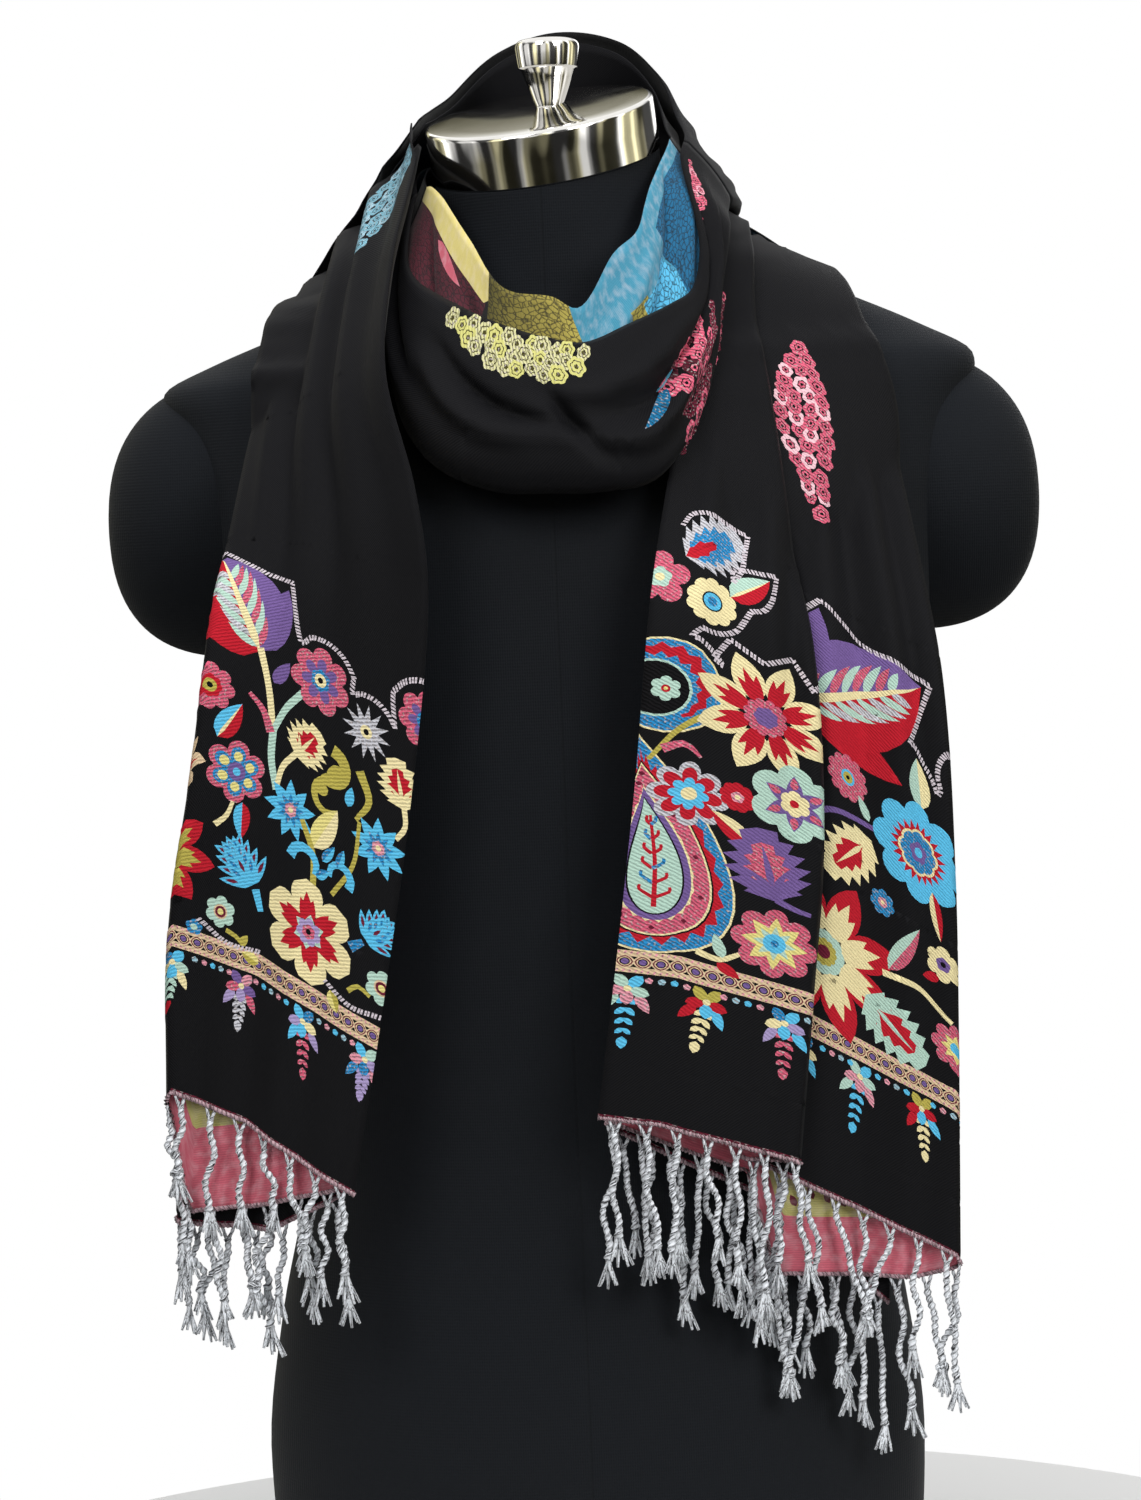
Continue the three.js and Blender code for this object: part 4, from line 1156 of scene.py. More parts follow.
def paisley(art, foot, wide, tall, lean):
    """A paisley of rings inside each other: a blue rim with red flames, a dotted pink band, a mint heart."""
    foot = np.asarray(foot, float)

    def ring(inset, colour, teeth=0.0):
        steps = 52 if teeth else 40
        outline = drop(wide - 2 * inset, tall - 2.6 * inset, lean * (1 - inset / wide), steps)
        if teeth:
            middle = np.array([0, tall * 0.35])
            outline[::2] += (middle - outline[::2]) * teeth
        art.lay(foot + (0, inset) + outline, colour)

    ring(0, "cream")
    ring(0.9, "blue")
    ring(4.0, "red", 0.11)
    ring(8.0, "ground")
    ring(8.7, "cream")
    ring(9.5, "pink")
    for x, y in foot + (0, 12.6) + drop(wide - 25.2, tall - 32, lean * 0.8, 12):
        flower(art, (x, y), 1.1, (1, "maroon", 4, 0.3))
    ring(15.2, "cream", 0.05)
    ring(16.4, "purple")
    ring(19.0, "ground")
    ring(19.7, "mint")
    heart = foot + (0, 23)
    top = heart + (lean * 0.4, tall * 0.42)
    stem(art, [heart, (heart + top) / 2 + (1, 0), top], "red", 2.0, 1.1)
    for k in range(6):
        at = heart + (top - heart) * (0.1 + 0.16 * k)
        reach = 6.4 - 0.8 * k
        for side in (-1, 1):
            way = bearing(side * (56 - 3 * k))
            dye = "red" if (k + side) % 3 else "blue"
            stem(art, [at, at + way * reach, at + way * reach + (0, 2.4)], dye, 1.7, 1.1)


def flames(art, centre, radius, start, end, wide, colour, teeth):
    """A band along an arc, from one bearing to another, cut into flames."""
    a = np.radians(np.linspace(start, end, 2 * teeth + 1))[:, None]
    taper = np.sin(np.linspace(0.25, math.pi - 0.25, len(a)))[:, None]
    way = np.concatenate([np.sin(a), np.cos(a)], axis=1)
    swell = np.where(np.arange(len(a)) % 2, 1, 0.35)[:, None]
    outer = np.asarray(centre) + way * (radius + wide / 2 * swell * taper)
    lower = np.asarray(centre) + way * (radius - wide / 2 * (1.3 - swell) * taper)
    art.lay(np.concatenate([outer, lower[::-1]]), colour)


def buta(art, line, wide, colour, other):
    """A scattered spray: a cluster of small scalloped flowers along a line, widest past its middle."""
    path, ahead = smooth_path(line, 1)
    gone = distances(path)
    at, row = 0.0, 0
    while at < gone[-1]:
        n = min(np.searchsorted(gone, at), len(path) - 1)
        here = wide * (0.28 + 0.72 * math.sin(math.pi * (at / gone[-1]) ** 1.2))
        count = max(1, round(here / 8))
        size = min(here / count, 8.5) / 2
        side = np.array([ahead[n][1], -ahead[n][0]])
        for k in range(count):
            off = (k - (count - 1) / 2) * here / count + 0.8 * math.sin(5 * row + 3 * k)
            place = path[n] + side * off + ahead[n] * 1.2 * math.sin(2 * k + row)
            outline = rim(size * 1.16, 6, 0.22)
            art.lay(aimed(outline, place, bearing(31 * row + 17 * k)), (colour, other)[(row + k) % 3 == 2])
            flower(
                art, place, size, (0.62, "ground", 6, 0.3), (0.48, colour, 6, 0.25),
                (0.2, "ground"), turn=20 * k,
            )
        at += size * 1.75
        row += 1


# ---- right tail ----
# The first end of the stole, on the wearer's left breast: the deepest layer at the neck, laid in one deep
# pleat so that its outer part hangs lower. Its art is set out across from the neck-side edge and up from the
# hem.
RIGHT_RUNS = [
    (0, PLEAT, [0, 0.3, 1], [0, -9, -17]),
    (PLEAT, 0.42, [0, 1], [-16, -8]),
    (0.42, 1, [0, 1], [-8, 0]),
    (1, 0.05, [0, 0.1, 0.5, 0.6, 1], [8, 20, 46, 0, 2]),
    (0.05, 0.84, [0, 0.5, 1], [6, 10, 40]),
]
RIGHT_TAIL = table(
    "s ex ey ez fx fy fz gap wave pleat crown",
    (0, 6, -148, 324, 187, -134, 241, 6.4, 5, 0.54, 0),
    (100, 18, -149, 400, 189, -136, 340, 6, 4.5, 0.56, 0),
    (200, 31, -150, 490, 190, -138, 440, 5.4, 4, 0.58, 0),
    (300, 42, -149, 580, 188, -132, 540, 4.8, 3, 0.55, 0),
    (370, 54, -125, 640, 180, -108, 610, 4.6, 2, 0.47, 0),
    (440, 68, -90, 698, 172, -70, 670, 4.2, 2, 0.36, 2),
    (500, 74, -46, 746, 160, -48, 714, 3.8, 1.4, 0.3, 5),
    (550, 80, -18, 768, 151, -10, 741, 3.4, 0.9, 0.28, 8),
    (590, 84, 13, 783, 145, 26, 748, 3.4, 0.5, 0.28, 9),
)
RIGHT_CREASES = [
    (0.12, 0.2, 0.045, 1, 4),
    (0.24, 0.33, 0.05, 2, -5),
    (0.38, 0.43, 0.035, -1.5, 5),
    (0.47, 0.53, 0.035, -2, -7),
    (0.62, 0.64, 0.035, 1, 5),
    (0.74, 0.73, 0.035, -1.5, -6),
    (0.86, 0.83, 0.035, 2, 5),
    (0.93, 0.91, 0.03, -1, -5),
]
right = Shape(hanging_end(RIGHT_TAIL, RIGHT_RUNS, -1, RIGHT_CREASES, 190))
art = Art()
art.stripe(-5, 29, "pink cloth", side="reverse")
art.stripe(29, 62, "lime", side="reverse")
for k, u in enumerate(np.arange(254, 300, 7.5)):
    art.lay(aimed(petal(7, 3, 0.5, 0.9, 4), (u, 34 + 2 * (k % 3)), bearing(25)), "maroon", side="reverse")
art.stripe(62, 160, "blue cloth", side="reverse")
art.stripe(160, 300, "pink cloth", side="reverse")
art.stripe(300, 600, "lemon", side="reverse")
border(
    art,
    right.width,
    ["sky", "cream", "pink", "silver", "mint", "sky", "cream", "pink", "silver", "pink", "violet", "cream",
     "sky", "mint", "silver", "cream", "pink"],
)
paisley(art, (11, 85), 58, 108, -11)
flower(art, (9, 219), 24, (1, "cream"), (0.96, "blue"))
flower(art, (5, 217), 14.5, (1, "mint"), (0.92, "ground"))
flames(art, (7, 219), 17.5, -60, 150, 9, "red", 9)
flower(art, (9, 217), 6.3, (1, "mint", 6, 0.25), (0.3, "red"), (0.14, "lemon"))
flower(art, (3, 273), 14, (1, "pink", 5, 0.35), (0.4, "mint", 5, 0.3), (0.15, "cream"))
leaf(art, (14, 286), (43, 306), 30, "silver", teeth=7, foot=0.45, point=0.55)
leaf(art, (16, 287), (38, 302), 19, "blue", teeth=5, foot=0.45, point=0.55)
leaf(art, (14, 286), (29, 296), 8, "red", teeth=3)
flower(art, (27, 265), 12, (1, "cream", 10, 0.13), (0.42, "ground"), (0.36, "sky"), (0.2, "blue"))
leaf(art, (36, 271), (55, 286), 13, "mint", "red", vein="cream")
stem(art, between((32, 211), (4, 181), 0.08), "olive", 3.4, 1.8)
leaf(art, (24, 204), (33, 212), 7, "lemon", "olive")
stem(art, between((9, 187), (24, 185), -0.3), "pink", 4.4, 1.6)
rosette(art, (50, 215), 31, 8, "cream", 13.5, flame="red", turn=22, tip=0.95, heart=0.24, fingers=0.34)
flower(art, (50, 215), 9.4, (1, "pink", 12, 0.15), (0.55, "purple", 7, 0.2), turn=12)
flower(
    art, (20, 166), 16, (1, "silver", 8, 0.28), (0.82, "red", 8, 0.42), (0.5, "sky", 8, 0.3),
    (0.2, "cream"),
)
flower(art, (39, 171), 7.2, (1, "red", 9, 0.12), (0.38, "rose", 5, 0.2), (0.16, "cream"))
flower(
    art, (62, 176), 19, (1, "mint", 6, 0.22), (0.74, "purple", 6, 0.5, "ray"),
    (0.34, "cream", 6, 0.2), (0.1, "red"),
)
for k in range(6):
    leaf(art, (62, 176) + bearing(60 * k) * 7, (62, 176) + bearing(60 * k) * 13, 3.4, "pink")
leaf(art, (45, 149), (29, 161), 9, "red", "cream")
crest(art, (56, 125), (47, 159), 32, "purple", "pink")
stem(art, between((56, 126), (70, 123), 0.05), "purple", 3.4, 2)
flower(
    art, (57, 104), 17, (1, "pink", 8, 0.22), (0.76, "lemon", 8, 0.42, "ray"),
    (0.5, "mint", 8, 0.5, "ray"), (0.28, "sky"), (0.1, "blue"),
)
stem(art, between((28, 90), (44, 94), 0.2), "cream", 3.2, 2)
leaf(art, (38, 90), (34, 101), 5, "mint")
leaf(art, (36, 87), (45, 82), 5, "red")
banner(art, (116, 240), (187, 279), 50)
flower(art, (140, 213), 11.5, (1, "pink", 11, 0.16), (0.34, "sky"), (0.24, "olive"), (0.09, "ground"))
leaf(art, (182, 219), (180, 243), 13, "mint", "cream")
stem(art, between((110, 168), (157, 195), -0.2), "purple", 3, 2.6)
leaf(art, (152, 197), (146, 207), 5, "mint")
flower(art, (117, 150), 9, (1, "cream", 6, 0.25), (0.42, "purple", 5, 0.2), (0.15, "ground"))
crest(art, (153, 188), (127, 160), 26, "cream", "red")
flower(
    art, (179, 196), 25, (1, "sky", 8, 0.2), (0.62, "red", 22, 0.26, "tooth"),
    (0.46, "cream", 8, 0.12), (0.41, "blue", 8, 0.12), (0.22, "purple", 5, 0.3), (0.1, "sky"),
)
flower(art, (159, 160), 6.6, (1, "blue", 7, 0.22), (0.38, "rose"), (0.16, "cream"))
leaf(art, (187, 180), (191, 157), 6, "red", "cream")
rosette(art, (129, 119), 42, 8, "red", 18, flame="cream", turn=22, tip=0.9, heart=0.22, fingers=0.46)
flower(art, (129, 119), 11, (1, "mint", 8, 0.1), (0.62, "olive", 12, 0.12), (0.3, "maroon"))
leaf(art, (163, 128), (179, 157), 9, "mint", "pink")
stem(art, between((160, 125), (196, 118), -0.15), "cream", 3.4, 2.4)
flower(art, (192, 146), 9, (1, "cream", 6, 0.25), (0.4, "purple", 5, 0.2), (0.15, "ground"))
leaf(art, (190, 138), (181, 135), 5, "red")
crest(art, (152, 109), (183, 89), 28, "mint", "red")
flower(art, (198, 106), 12, (1, "pink", 8, 0.25), (0.6, "lemon", 8, 0.4, "ray"), (0.25, "sky"))
rays = ((-45, 31), (-23, 37), (0, 27), (22, 37), (45, 30))
rays = [[(50, 215) + bearing(way) * reach] for way, reach in rays]
corded(
    art,
    beside((14, 286), (43, 306), 30, -1),
    beside((14, 286), (43, 306), 30, 1)[-2:0:-1],
    beside((36, 271), (55, 286), 13, -1)[1:],
    beside((36, 271), (55, 286), 13, 1)[-2::-1],
    curl((27, 265), 15.5, 125, 70),
    curl((9, 219), 28, 20, 38),
    *rays,
    [horn_tip((116, 240), (187, 279), -1, 5)],
    beside((116, 240), (187, 279), 50, -1)[2:],
    beside((116, 240), (187, 279), 50, 1)[-2:1:-1],
    beside((182, 219), (180, 243), 13, 1)[-1:0:-1],
    curl((210, 240), 18, -110, 100),
)
# This spray lies at the tail's edge by the cowl; its dark maroon dusk stands in for pink in shade there:
# painted shade.
buta(art, between((6, 346), (35, 450), -0.04), 16, "dusk", "pink")
buta(art, between((145, 347), (146, 436), -0.04), 31, "pink", "blush")
right_tail = weave("right_tail_cloth", right, art, False)
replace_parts(right_tail, "right_tail")

# ---- left tail ----
# The last end: it comes from behind the neck over the other shoulder and hangs in front of the loop's end.
LEFT_RUNS = [
    (0, 1, [0, 0.6, 1], [0, -5, 0]),
    (1, 0.1, [0, 0.14, 0.5, 1], [14, 56, 36, 3]),
    (0.1, 0.92, [0, 0.4, 1], [8, 42, 66]),
    (0.92, 0.4, [0, 1], [64, 30]),
]
LEFT_TAIL = table(
    "s ex ey ez fx fy fz gap wave",
    (0, -117, -143, 289, -208, -136, 343, 6.4, 5),
    (100, -98, -144, 386, -203, -138, 425, 6, 4.5),
    (200, -80, -148, 486, -188, -142, 503, 5.4, 4),
    (300, -67, -153, 585, -175, -137, 582, 4.8, 3),
    (360, -71, -151, 640, -166, -116, 622, 4.2, 2.4),
    (420, -84, -131, 700, -157, -82, 668, 3.6, 2),
    (480, -80, -84, 760, -148, -44, 708, 3.2, 1.5),
    (530, -71, -40, 803, -143, -14, 731, 3, 1),
    (580, -65, 8, 839, -141, 18, 739, 3, 0.6),
)
LEFT_CREASES = [
    (0.14, 0.2, 0.06, 1.5, -3),
    (0.3, 0.36, 0.05, -2, 4),
    (0.45, 0.48, 0.045, 2.5, -5),
    (0.6, 0.6, 0.05, -2, 4),
    (0.74, 0.72, 0.04, 1, -5),
    (0.87, 0.85, 0.04, -1.5, 4),
]
left = Shape(hanging_end(LEFT_TAIL, LEFT_RUNS, 1, LEFT_CREASES, 115))
art = Art()
art.stripe(-5, 42, "pink cloth", side="reverse")
art.stripe(42, 66, "lime", side="reverse")
art.stripe(66, 160, "pink cloth", side="reverse")
art.stripe(160, 300, "blue cloth", side="reverse")
art.stripe(300, 400, "lemon", side="reverse")
border(
    art,
    left.width,
    ["violet", "pink", "silver", "mint", "cream", "mint", "silver", "pink", "cream", "sky", "pink", "mint"],
)
banner(art, (86, 234), (112, 285), 46)
stem(art, between((86, 236), (75, 196), 0.03), "cream", 3.6, 3.2)
stem(art, between((75, 197), (70, 168), -0.06), "mint", 3.8, 3.4)
stem(art, between((62, 221), (75, 196), -0.05), "mint", 3.6, 3)
flower(
    art, (53, 232), 16.5, (1, "pink", 7, 0.24), (0.66, "purple", 7, 0.5), (0.34, "blue", 6, 0.25),
    (0.2, "cream"), (0.09, "ground"),
)
leaf(art, (77, 220), (70, 233), 7, "purple")
flower(art, (108, 208), 12, (1, "pink", 8, 0.2), (0.5, "red", 8, 0.2), (0.28, "olive"), (0.12, "ground"))
leaf(art, (102, 184), (92, 204), 11, "red", "sky", vein="cream")
stem(art, between((89, 211), (76, 195), 0.1), "pink", 2.2, 4.4)
flower(art, (91, 170), 15.5, (1, "pink", 6, 0.28), (0.8, "blue", 6, 0.4), (0.3, "purple"), (0.13, "sky"))
for k in range(6):
    flower(art, (91, 170) + bearing(60 * k) * 7.6, 2.4, (1, "lemon"))
stem(art, between((91, 155), (98, 141), 0.1), "cream", 2, 2.8)
leaf(art, (86, 156), (84, 138), 9, "sky", "red")
crest(art, (62, 189), (50, 207), 23, "cream", "red")
stem(art, between((62, 190), (70, 170), -0.1), "cream", 3, 2.6)
stem(art, curl((42, 194), 8, 0, -180) + curl((42, 178.5), 7.5, 20, 200), "olive", 6.5, 2.6)
for start, end in (((35, 195), (44, 190)), ((36, 188), (47, 187)), ((42, 182), (50, 179))):
    leaf(art, start, end, 6, "olive")
flower(
    art, (26, 220), 13, (1, "silver", 12, 0.5, "tooth"), (0.5, "silver", 12, 0.3, "tooth"),
    (0.24, "cream"), (0.11, "ground"),
)
flower(art, (-2, 239), 13, (1, "pink", 7, 0.24), (0.62, "purple", 7, 0.5), (0.3, "blue"))
crest(art, (3, 194), (10, 216), 22, "cream", "red")
stem(art, between((3, 195), (5, 178), 0.15), "cream", 2.6, 2.2)
stem(art, between((27, 200), (26, 176), 0.25), "olive", 5, 2)
leaf(art, (31, 180), (30, 190), 5, "sky")
for middle in ((61, 162), (13, 169)):
    flower(
        art, middle, 14.5, (1, "sky", 9, 0.42, "ray"), (0.56, "blue", 9, 0.5, "ray"),
        (0.24, "rose", 6, 0.2), (0.1, "cream"), turn=8,
    )
leaf(art, (46, 151), (36, 175), 12, "cream", "lemon")
stem(art, between((54, 161), (43, 132), 0.1), "olive", 3, 3.4)
stem(art, between((24, 176), (33, 134), 0.1), "olive", 2, 2.4)
rosette(art, (122, 170), 16, 8, "sand", 8, flame="red", tip=1.0)
rosette(art, (123, 120), 28, 8, "red", 13, flame="olive", tip=0.9, fingers=0.46)
flower(art, (122, 127), 9, (1, "mint", 8, 0.1), (0.6, "olive"))
plume(art, (72, 114), (91, 136), 24, "sky", "maroon")
stem(art, between((73, 116), (69, 106)), "sky", 4, 3)
flower(art, (89, 99), 8, (1, "mint", 6, 0.24), (0.46, "sand"), (0.36, "maroon"), (0.2, "lemon"))
stem(art, between((85, 91), (75, 86), 0.1), "olive", 2.4, 2)
leaf(art, (77, 86), (74, 92), 4, "olive")
corded(art, between((100, 92), (66, 86), -0.12))
flower(art, (101, 87), 4, (1, "blue", 5, 0.3), (0.4, "mint"))
leaf(art, (67, 80), (76, 83), 6, "lemon", "olive")
rosette(art, (42, 110), 25, 6, "cream", 17.5, flame="red", turn=12, tip=0.5, heart=0.2, fingers=0.36)
flower(
    art, (42, 110), 8.6, (1, "mint", 6, 0.4, "ray"), (0.78, "violet", 7, 0.25),
    (0.42, "pink", 6, 0.2), (0.16, "ground"),
)
stem(art, curl((50, 141), 7.5, 90, -200), "sky", 5.4, 3)
stem(art, curl((30, 144), 6, -120, 230), "sky", 4.6, 2.6)
for start, end in (((40, 147), (35, 157)), ((32, 148), (30, 158)), ((42, 138), (36, 144))):
    leaf(art, start, end, 4.6, "sky", "blue")
plume(art, (15, 120), (1, 138), 22, "sky", "maroon")
stem(art, between((20, 115), (14, 121)), "blue", 5, 3)
flower(art, (2, 104), 8.4, (1, "mint", 6, 0.24), (0.46, "sand"), (0.36, "maroon"), (0.2, "lemon"))
stem(art, between((18, 94), (7, 97), 0.3), "olive", 2.4, 2)
leaf(art, (27, 89), (22, 80), 6, "lemon", "olive")
corded(art, between((31, 92), (0, 90), -0.12))
corded(
    art,
    beside((86, 234), (112, 285), 46, -1)[:1:-1],
    [horn_tip((86, 234), (112, 285), -1, 5)],
    curl((53, 232), 20.5, 40, -100),
    curl((26, 220), 17, 32, -88),
    curl((-2, 239), 17, 75, -80),
)
buta(art, between((38, 496), (9, 562), 0.03), 36, "mist", "ice")
left_tail = weave("left_tail_cloth", left, art, True)
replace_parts(left_tail, "left_tail")

# ---- inner loop ----
# The stretch between the first end and the cowl, low behind the neck, close against it.
INNER_LOOP = table(
    "angle ir iz rr rz fr fz gap",
    (102, 85, 788, 93, 787, 148, 745, 8),
    (130, 76, 808, 81, 807, 125, 747, 6),
    (155, 69, 833, 73, 834, 103, 750, 5),
    (180, 67, 845, 71, 846, 95, 750, 5),
    (205, 66, 837, 71, 838, 92, 754, 5),
    (235, 66, 821, 71, 820, 94, 762, 5),
    (262, 65, 813, 71, 811, 90, 766, 5),
    (285, 66, 802, 73, 798, 89, 762, 5),
)
INNER_FOLDS = [
    (110, 0.4, 190, 0.35, 10, 14, -3),
    (170, 0.6, 262, 0.6, 8, 14, 2.5),
]
inner = Shape(neck_stretch(INNER_LOOP, INNER_FOLDS), False)
art = Art()
art.stripe(-5, 120, "blue cloth", side="reverse")
art.stripe(-5, 16, "ground", side="reverse", across=(84, 170))
field(art, "wine", (32, 60), (28, 56), -8, 2)
field(art, "water", (0, 16), (180, 250), 14, 2)
inner_loop = weave("inner_loop_cloth", inner, art, True)
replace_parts(inner_loop, "inner_loop")

# ---- cowl ----
# The stretch across the throat, slack between the two sides of the neck, so that its upper edges fall open
# and show the coloured reverse.
COWL = table(
    "angle ir iz rr rz fr fz gap",
    (-75, 66, 802, 73, 798, 89, 762, 5),
    (-62, 68, 800, 84, 781, 99, 742, 5),
    (-48, 71, 790, 101, 754, 116, 706, 7),
    (-30, 81, 768, 115, 735, 142, 656, 14),
    (-15, 95, 742, 119, 721, 145, 637, 18),
    (0, 99, 736, 122, 711, 146, 634, 18),
    (8, 100, 730, 123, 709, 147, 634, 16),
    (20, 92, 757, 122, 719, 146, 640, 10),
    (31, 86, 769, 120, 729, 139, 668, 6),
    (40, 77, 784, 115, 738, 129, 701, 6),
    (48, 72, 796, 106, 759, 117, 731, 6),
    (60, 67, 806, 86, 791, 108, 764, 6),
    (72, 66, 816, 76, 811, 99, 776, 6),
    (82, 66, 823, 76, 820, 97, 785, 6),
)
COWL_FOLDS = [
    (-27, 0.68, 0, 0.32, 9, 5, -9),
    (-30, 0.5, -4, 0.18, 10, 6, 6),
    (2, 0.58, 32, 0.8, 3, 4.5, 7),
    (-2, 0.56, 9, 0.1, 2, 4.5, -10),
    (6, 0.18, 34, 0.46, 9, 7, 9),
    (9, 0.41, 38, 0.64, 6, 4.5, -8),
    (-56, 0.75, -34, 0.35, 5, 7, -5),
    (-62, 0.5, -30, 0.12, 6, 8, 4),
    (34, 0.55, 62, 0.85, 5, 6, -5),
    (30, 0.3, 66, 0.6, 8, 7, 4),
]
cowl_shape = Shape(neck_stretch(COWL, COWL_FOLDS), False)
art = Art()
field(art, "wine", (-5, 120), (-5, 134), -8, 3)
field(art, "lemon", (-5, 15), (-5, 150), -16, 2)
art.lay(aimed(petal(44, 7, 0.6, 0.9), (18, 58), bearing(4)), "pink cloth", side="reverse")
# The moss field runs from dark moss at its low end to moss at its high end, darker towards the cowl's left:
# painted shade.
field(art, "dark moss", (-5, 120), (132, 205), 20, 3, far="moss")
field(art, "blue cloth", (-5, 120), (203, 440), 26, 3)
field(art, "moss", (24, 44), (250, 272), 12, 2)
field(art, "water", (26, 120), (268, 316), 10, 3)
field(art, "teal", (14, 120), (322, 440), -16, 3)
for row, (u, low, high) in enumerate(((160, 131, 209), (154, 143, 207), (148, 160, 201))):
    for k, v in enumerate(np.arange(low, high, 7)):
        at = (u + 1.3 * math.sin(4 * k + row), v + 1.2 * math.sin(3 * k + 2 * row))
        size = 4.7 + 0.6 * math.sin(5 * k + row)
        dye = ("straw", "lime", "straw")[(k + row) % 3]
        flower(
            art, at, size, (1, dye, 6, 0.26), (0.68, "dark moss", 6, 0.3), (0.56, dye, 6, 0.3),
            turn=25 * k,
        )
        flower(art, at, 1.3, (1, "dark moss", 5, 0.3))
buta(art, between((157, 404), (149, 364), 0.04), 13, "pink", "rose")
buta(art, between((140, 300), (129, 258)), 20, "pink", "wine")
art.lay(aimed(petal(24, 5, 0.5, 0.9), (130, 259), bearing(207)), "teal")
# Like the spray at the right tail's edge, this one is laid in dark maroon dusk that stands in for pink in
# shade: painted shade.
buta(art, between((133, 314), (103, 262)), 24, "dusk", "pink")
cowl = weave("cowl_cloth", cowl_shape, art, True)
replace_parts(cowl, "cowl")

# ---- outer loop ----
# The stretch from the cowl to the last end, standing high behind the neck and spread over both shoulders.
OUTER_LOOP = table(
    "angle ir iz rr rz fr fz gap",
    (82, 66, 823, 76, 820, 97, 785, 6),
    (110, 69, 832, 78, 837, 110, 783, 6),
    (129, 76, 857, 84, 862, 119, 770, 7),
    (150, 80, 880, 88, 885, 119, 754, 7),
    (174, 79, 888, 87, 893, 114, 745, 7),
    (198, 71, 878, 79, 882, 112, 743, 7),
    (227, 65, 853, 70, 857, 122, 743, 7),
    (245, 65, 843, 69, 847, 134, 741, 6),
    (262, 65, 838, 68, 841, 141, 739, 5),
)
OUTER_FOLDS = [
    (100, 0.5, 150, 0.3, 8, 8, 3),
    (104, 0.68, 155, 0.5, 9, 8, -4),
    (110, 0.86, 160, 0.68, 9, 7, 4),
    (112, 0.35, 165, 0.16, 9, 8, -4),
    (100, 0.28, 175, 0.3, 14, 9, 5),
    (140, 0.6, 205, 0.45, 10, 8, -5),
    (150, 0.78, 230, 0.7, 10, 7, 5),
    (180, 0.25, 240, 0.25, 8, 8, -6),
    (210, 0.6, 258, 0.5, 6, 6, -6),
    (214, 0.8, 260, 0.75, 6, 5, 5),
    (200, 0.42, 256, 0.34, 6, 6, 5),
]
outer = Shape(neck_stretch(OUTER_LOOP, OUTER_FOLDS), False)
art = Art()
buta(art, between((176, 60), (146, 88)), 19, "pink", "red")
buta(art, between((140, 150), (200, 160), -0.05), 23, "mint", "lime")
buta(art, between((140, 215), (200, 222), -0.05), 23, "violet", "rose")
outer_loop = weave("outer_loop_cloth", outer, art, True)
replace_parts(outer_loop, "outer_loop")

# ---- fringes ----
# The warp's grey, black and white ends, twisted by hand into strands along each hem. Their ends have frayed
# open, and a few neighbours have caught on each other and matted together.
STRAND_PITCH = 16
STRAND_RADIUS = 1.95
LEG_FALL = 8.0
LEG_SPREAD = 3.4
STRAND_TURN = 7.0
STRAND_STEP = 1.1
TUFT_YARNS = 7


def yarn_finish(name, pale, deep):
    """Two plies round each other: pale and dark fibres mixed, with a line of painted shade where the plies
    meet.
    """
    nodes = Nodes(name)
    flat = nodes.add("ShaderNodeUVMap", {"uv_map": "yarns"})
    round_it, _, _ = nodes.split(flat)
    fibres = nodes.add("ShaderNodeMapping", {}, {0: flat, "Scale": (9, 520, 1), "Rotation": (0, 0, 0.3)})
    fibres = nodes.noise(fibres, 1.0, 2.0)
    patchy = nodes.add("ShaderNodeMapping", {}, {0: flat, "Scale": (2, 130, 1)})
    patchy = nodes.noise(patchy, 1.0, 0.0)
    groove_and_shade = (round_it * 2 + 0.5).math("FRACT") - 0.5
    groove_and_shade = (1 - groove_and_shade.math("ABSOLUTE") * 4.5).math("MAXIMUM", 0.0)
    dark = (fibres * 6.5 + patchy * 3.0 - 4.8).held()
    # The groove between the plies is darkened in colour too: painted shade.
    dark = (dark + groove_and_shade * 0.7).math("MINIMUM", 1.0)
    return nodes.finish(
        Base_Color=nodes.mix(dark, linear(pale), linear(deep)),
        Normal=nodes.bump(fibres - groove_and_shade, 0.5, 0.0006),
        Roughness=0.75 + fibres * 0.15,
        Sheen_Weight=0.2,
    )


def cord_along(path, radii, sides, phase=0.0, turn=STRAND_TURN, waist=0.62):
    """The points, faces and yarn places of a cord of two plies that turn round each other along a path."""
    path = np.asarray(path, float)
    ahead = unit(np.gradient(path, axis=0))
    side = unit(np.cross(ahead, [0.0, 1.0, 0.08]))
    other = np.cross(ahead, side)
    gone = distances(path)
    a = 2 * math.pi * np.arange(sides) / sides
    r = np.asarray(radii, float)[:, None] * np.sqrt(np.cos(a) ** 2 + (waist * np.sin(a)) ** 2)
    turned = a + phase + (gone / turn * 2 * math.pi)[:, None]
    points = path[:, None] + side[:, None] * (r * np.cos(turned))[..., None]
    points = points + other[:, None] * (r * np.sin(turned))[..., None]
    faces, places = [], []
    for n in range(len(path) - 1):
        for k in range(sides):
            j = (k + 1) % sides
            faces.append((n * sides + k, (n + 1) * sides + k, (n + 1) * sides + j, n * sides + j))
            around, low, high = (k / sides, (k + 1) / sides), gone[n] * MM, gone[n + 1] * MM
            places += [(around[0], low), (around[0], high), (around[1], high), (around[1], low)]
    for ring, n in ((range(sides), 0), (range(sides - 1, -1, -1), len(path) - 1)):
        faces.append(tuple(n * sides + k for k in ring))
        places += [(k / sides, gone[n] * MM) for k in ring]
    return points.reshape(-1, 3), faces, places


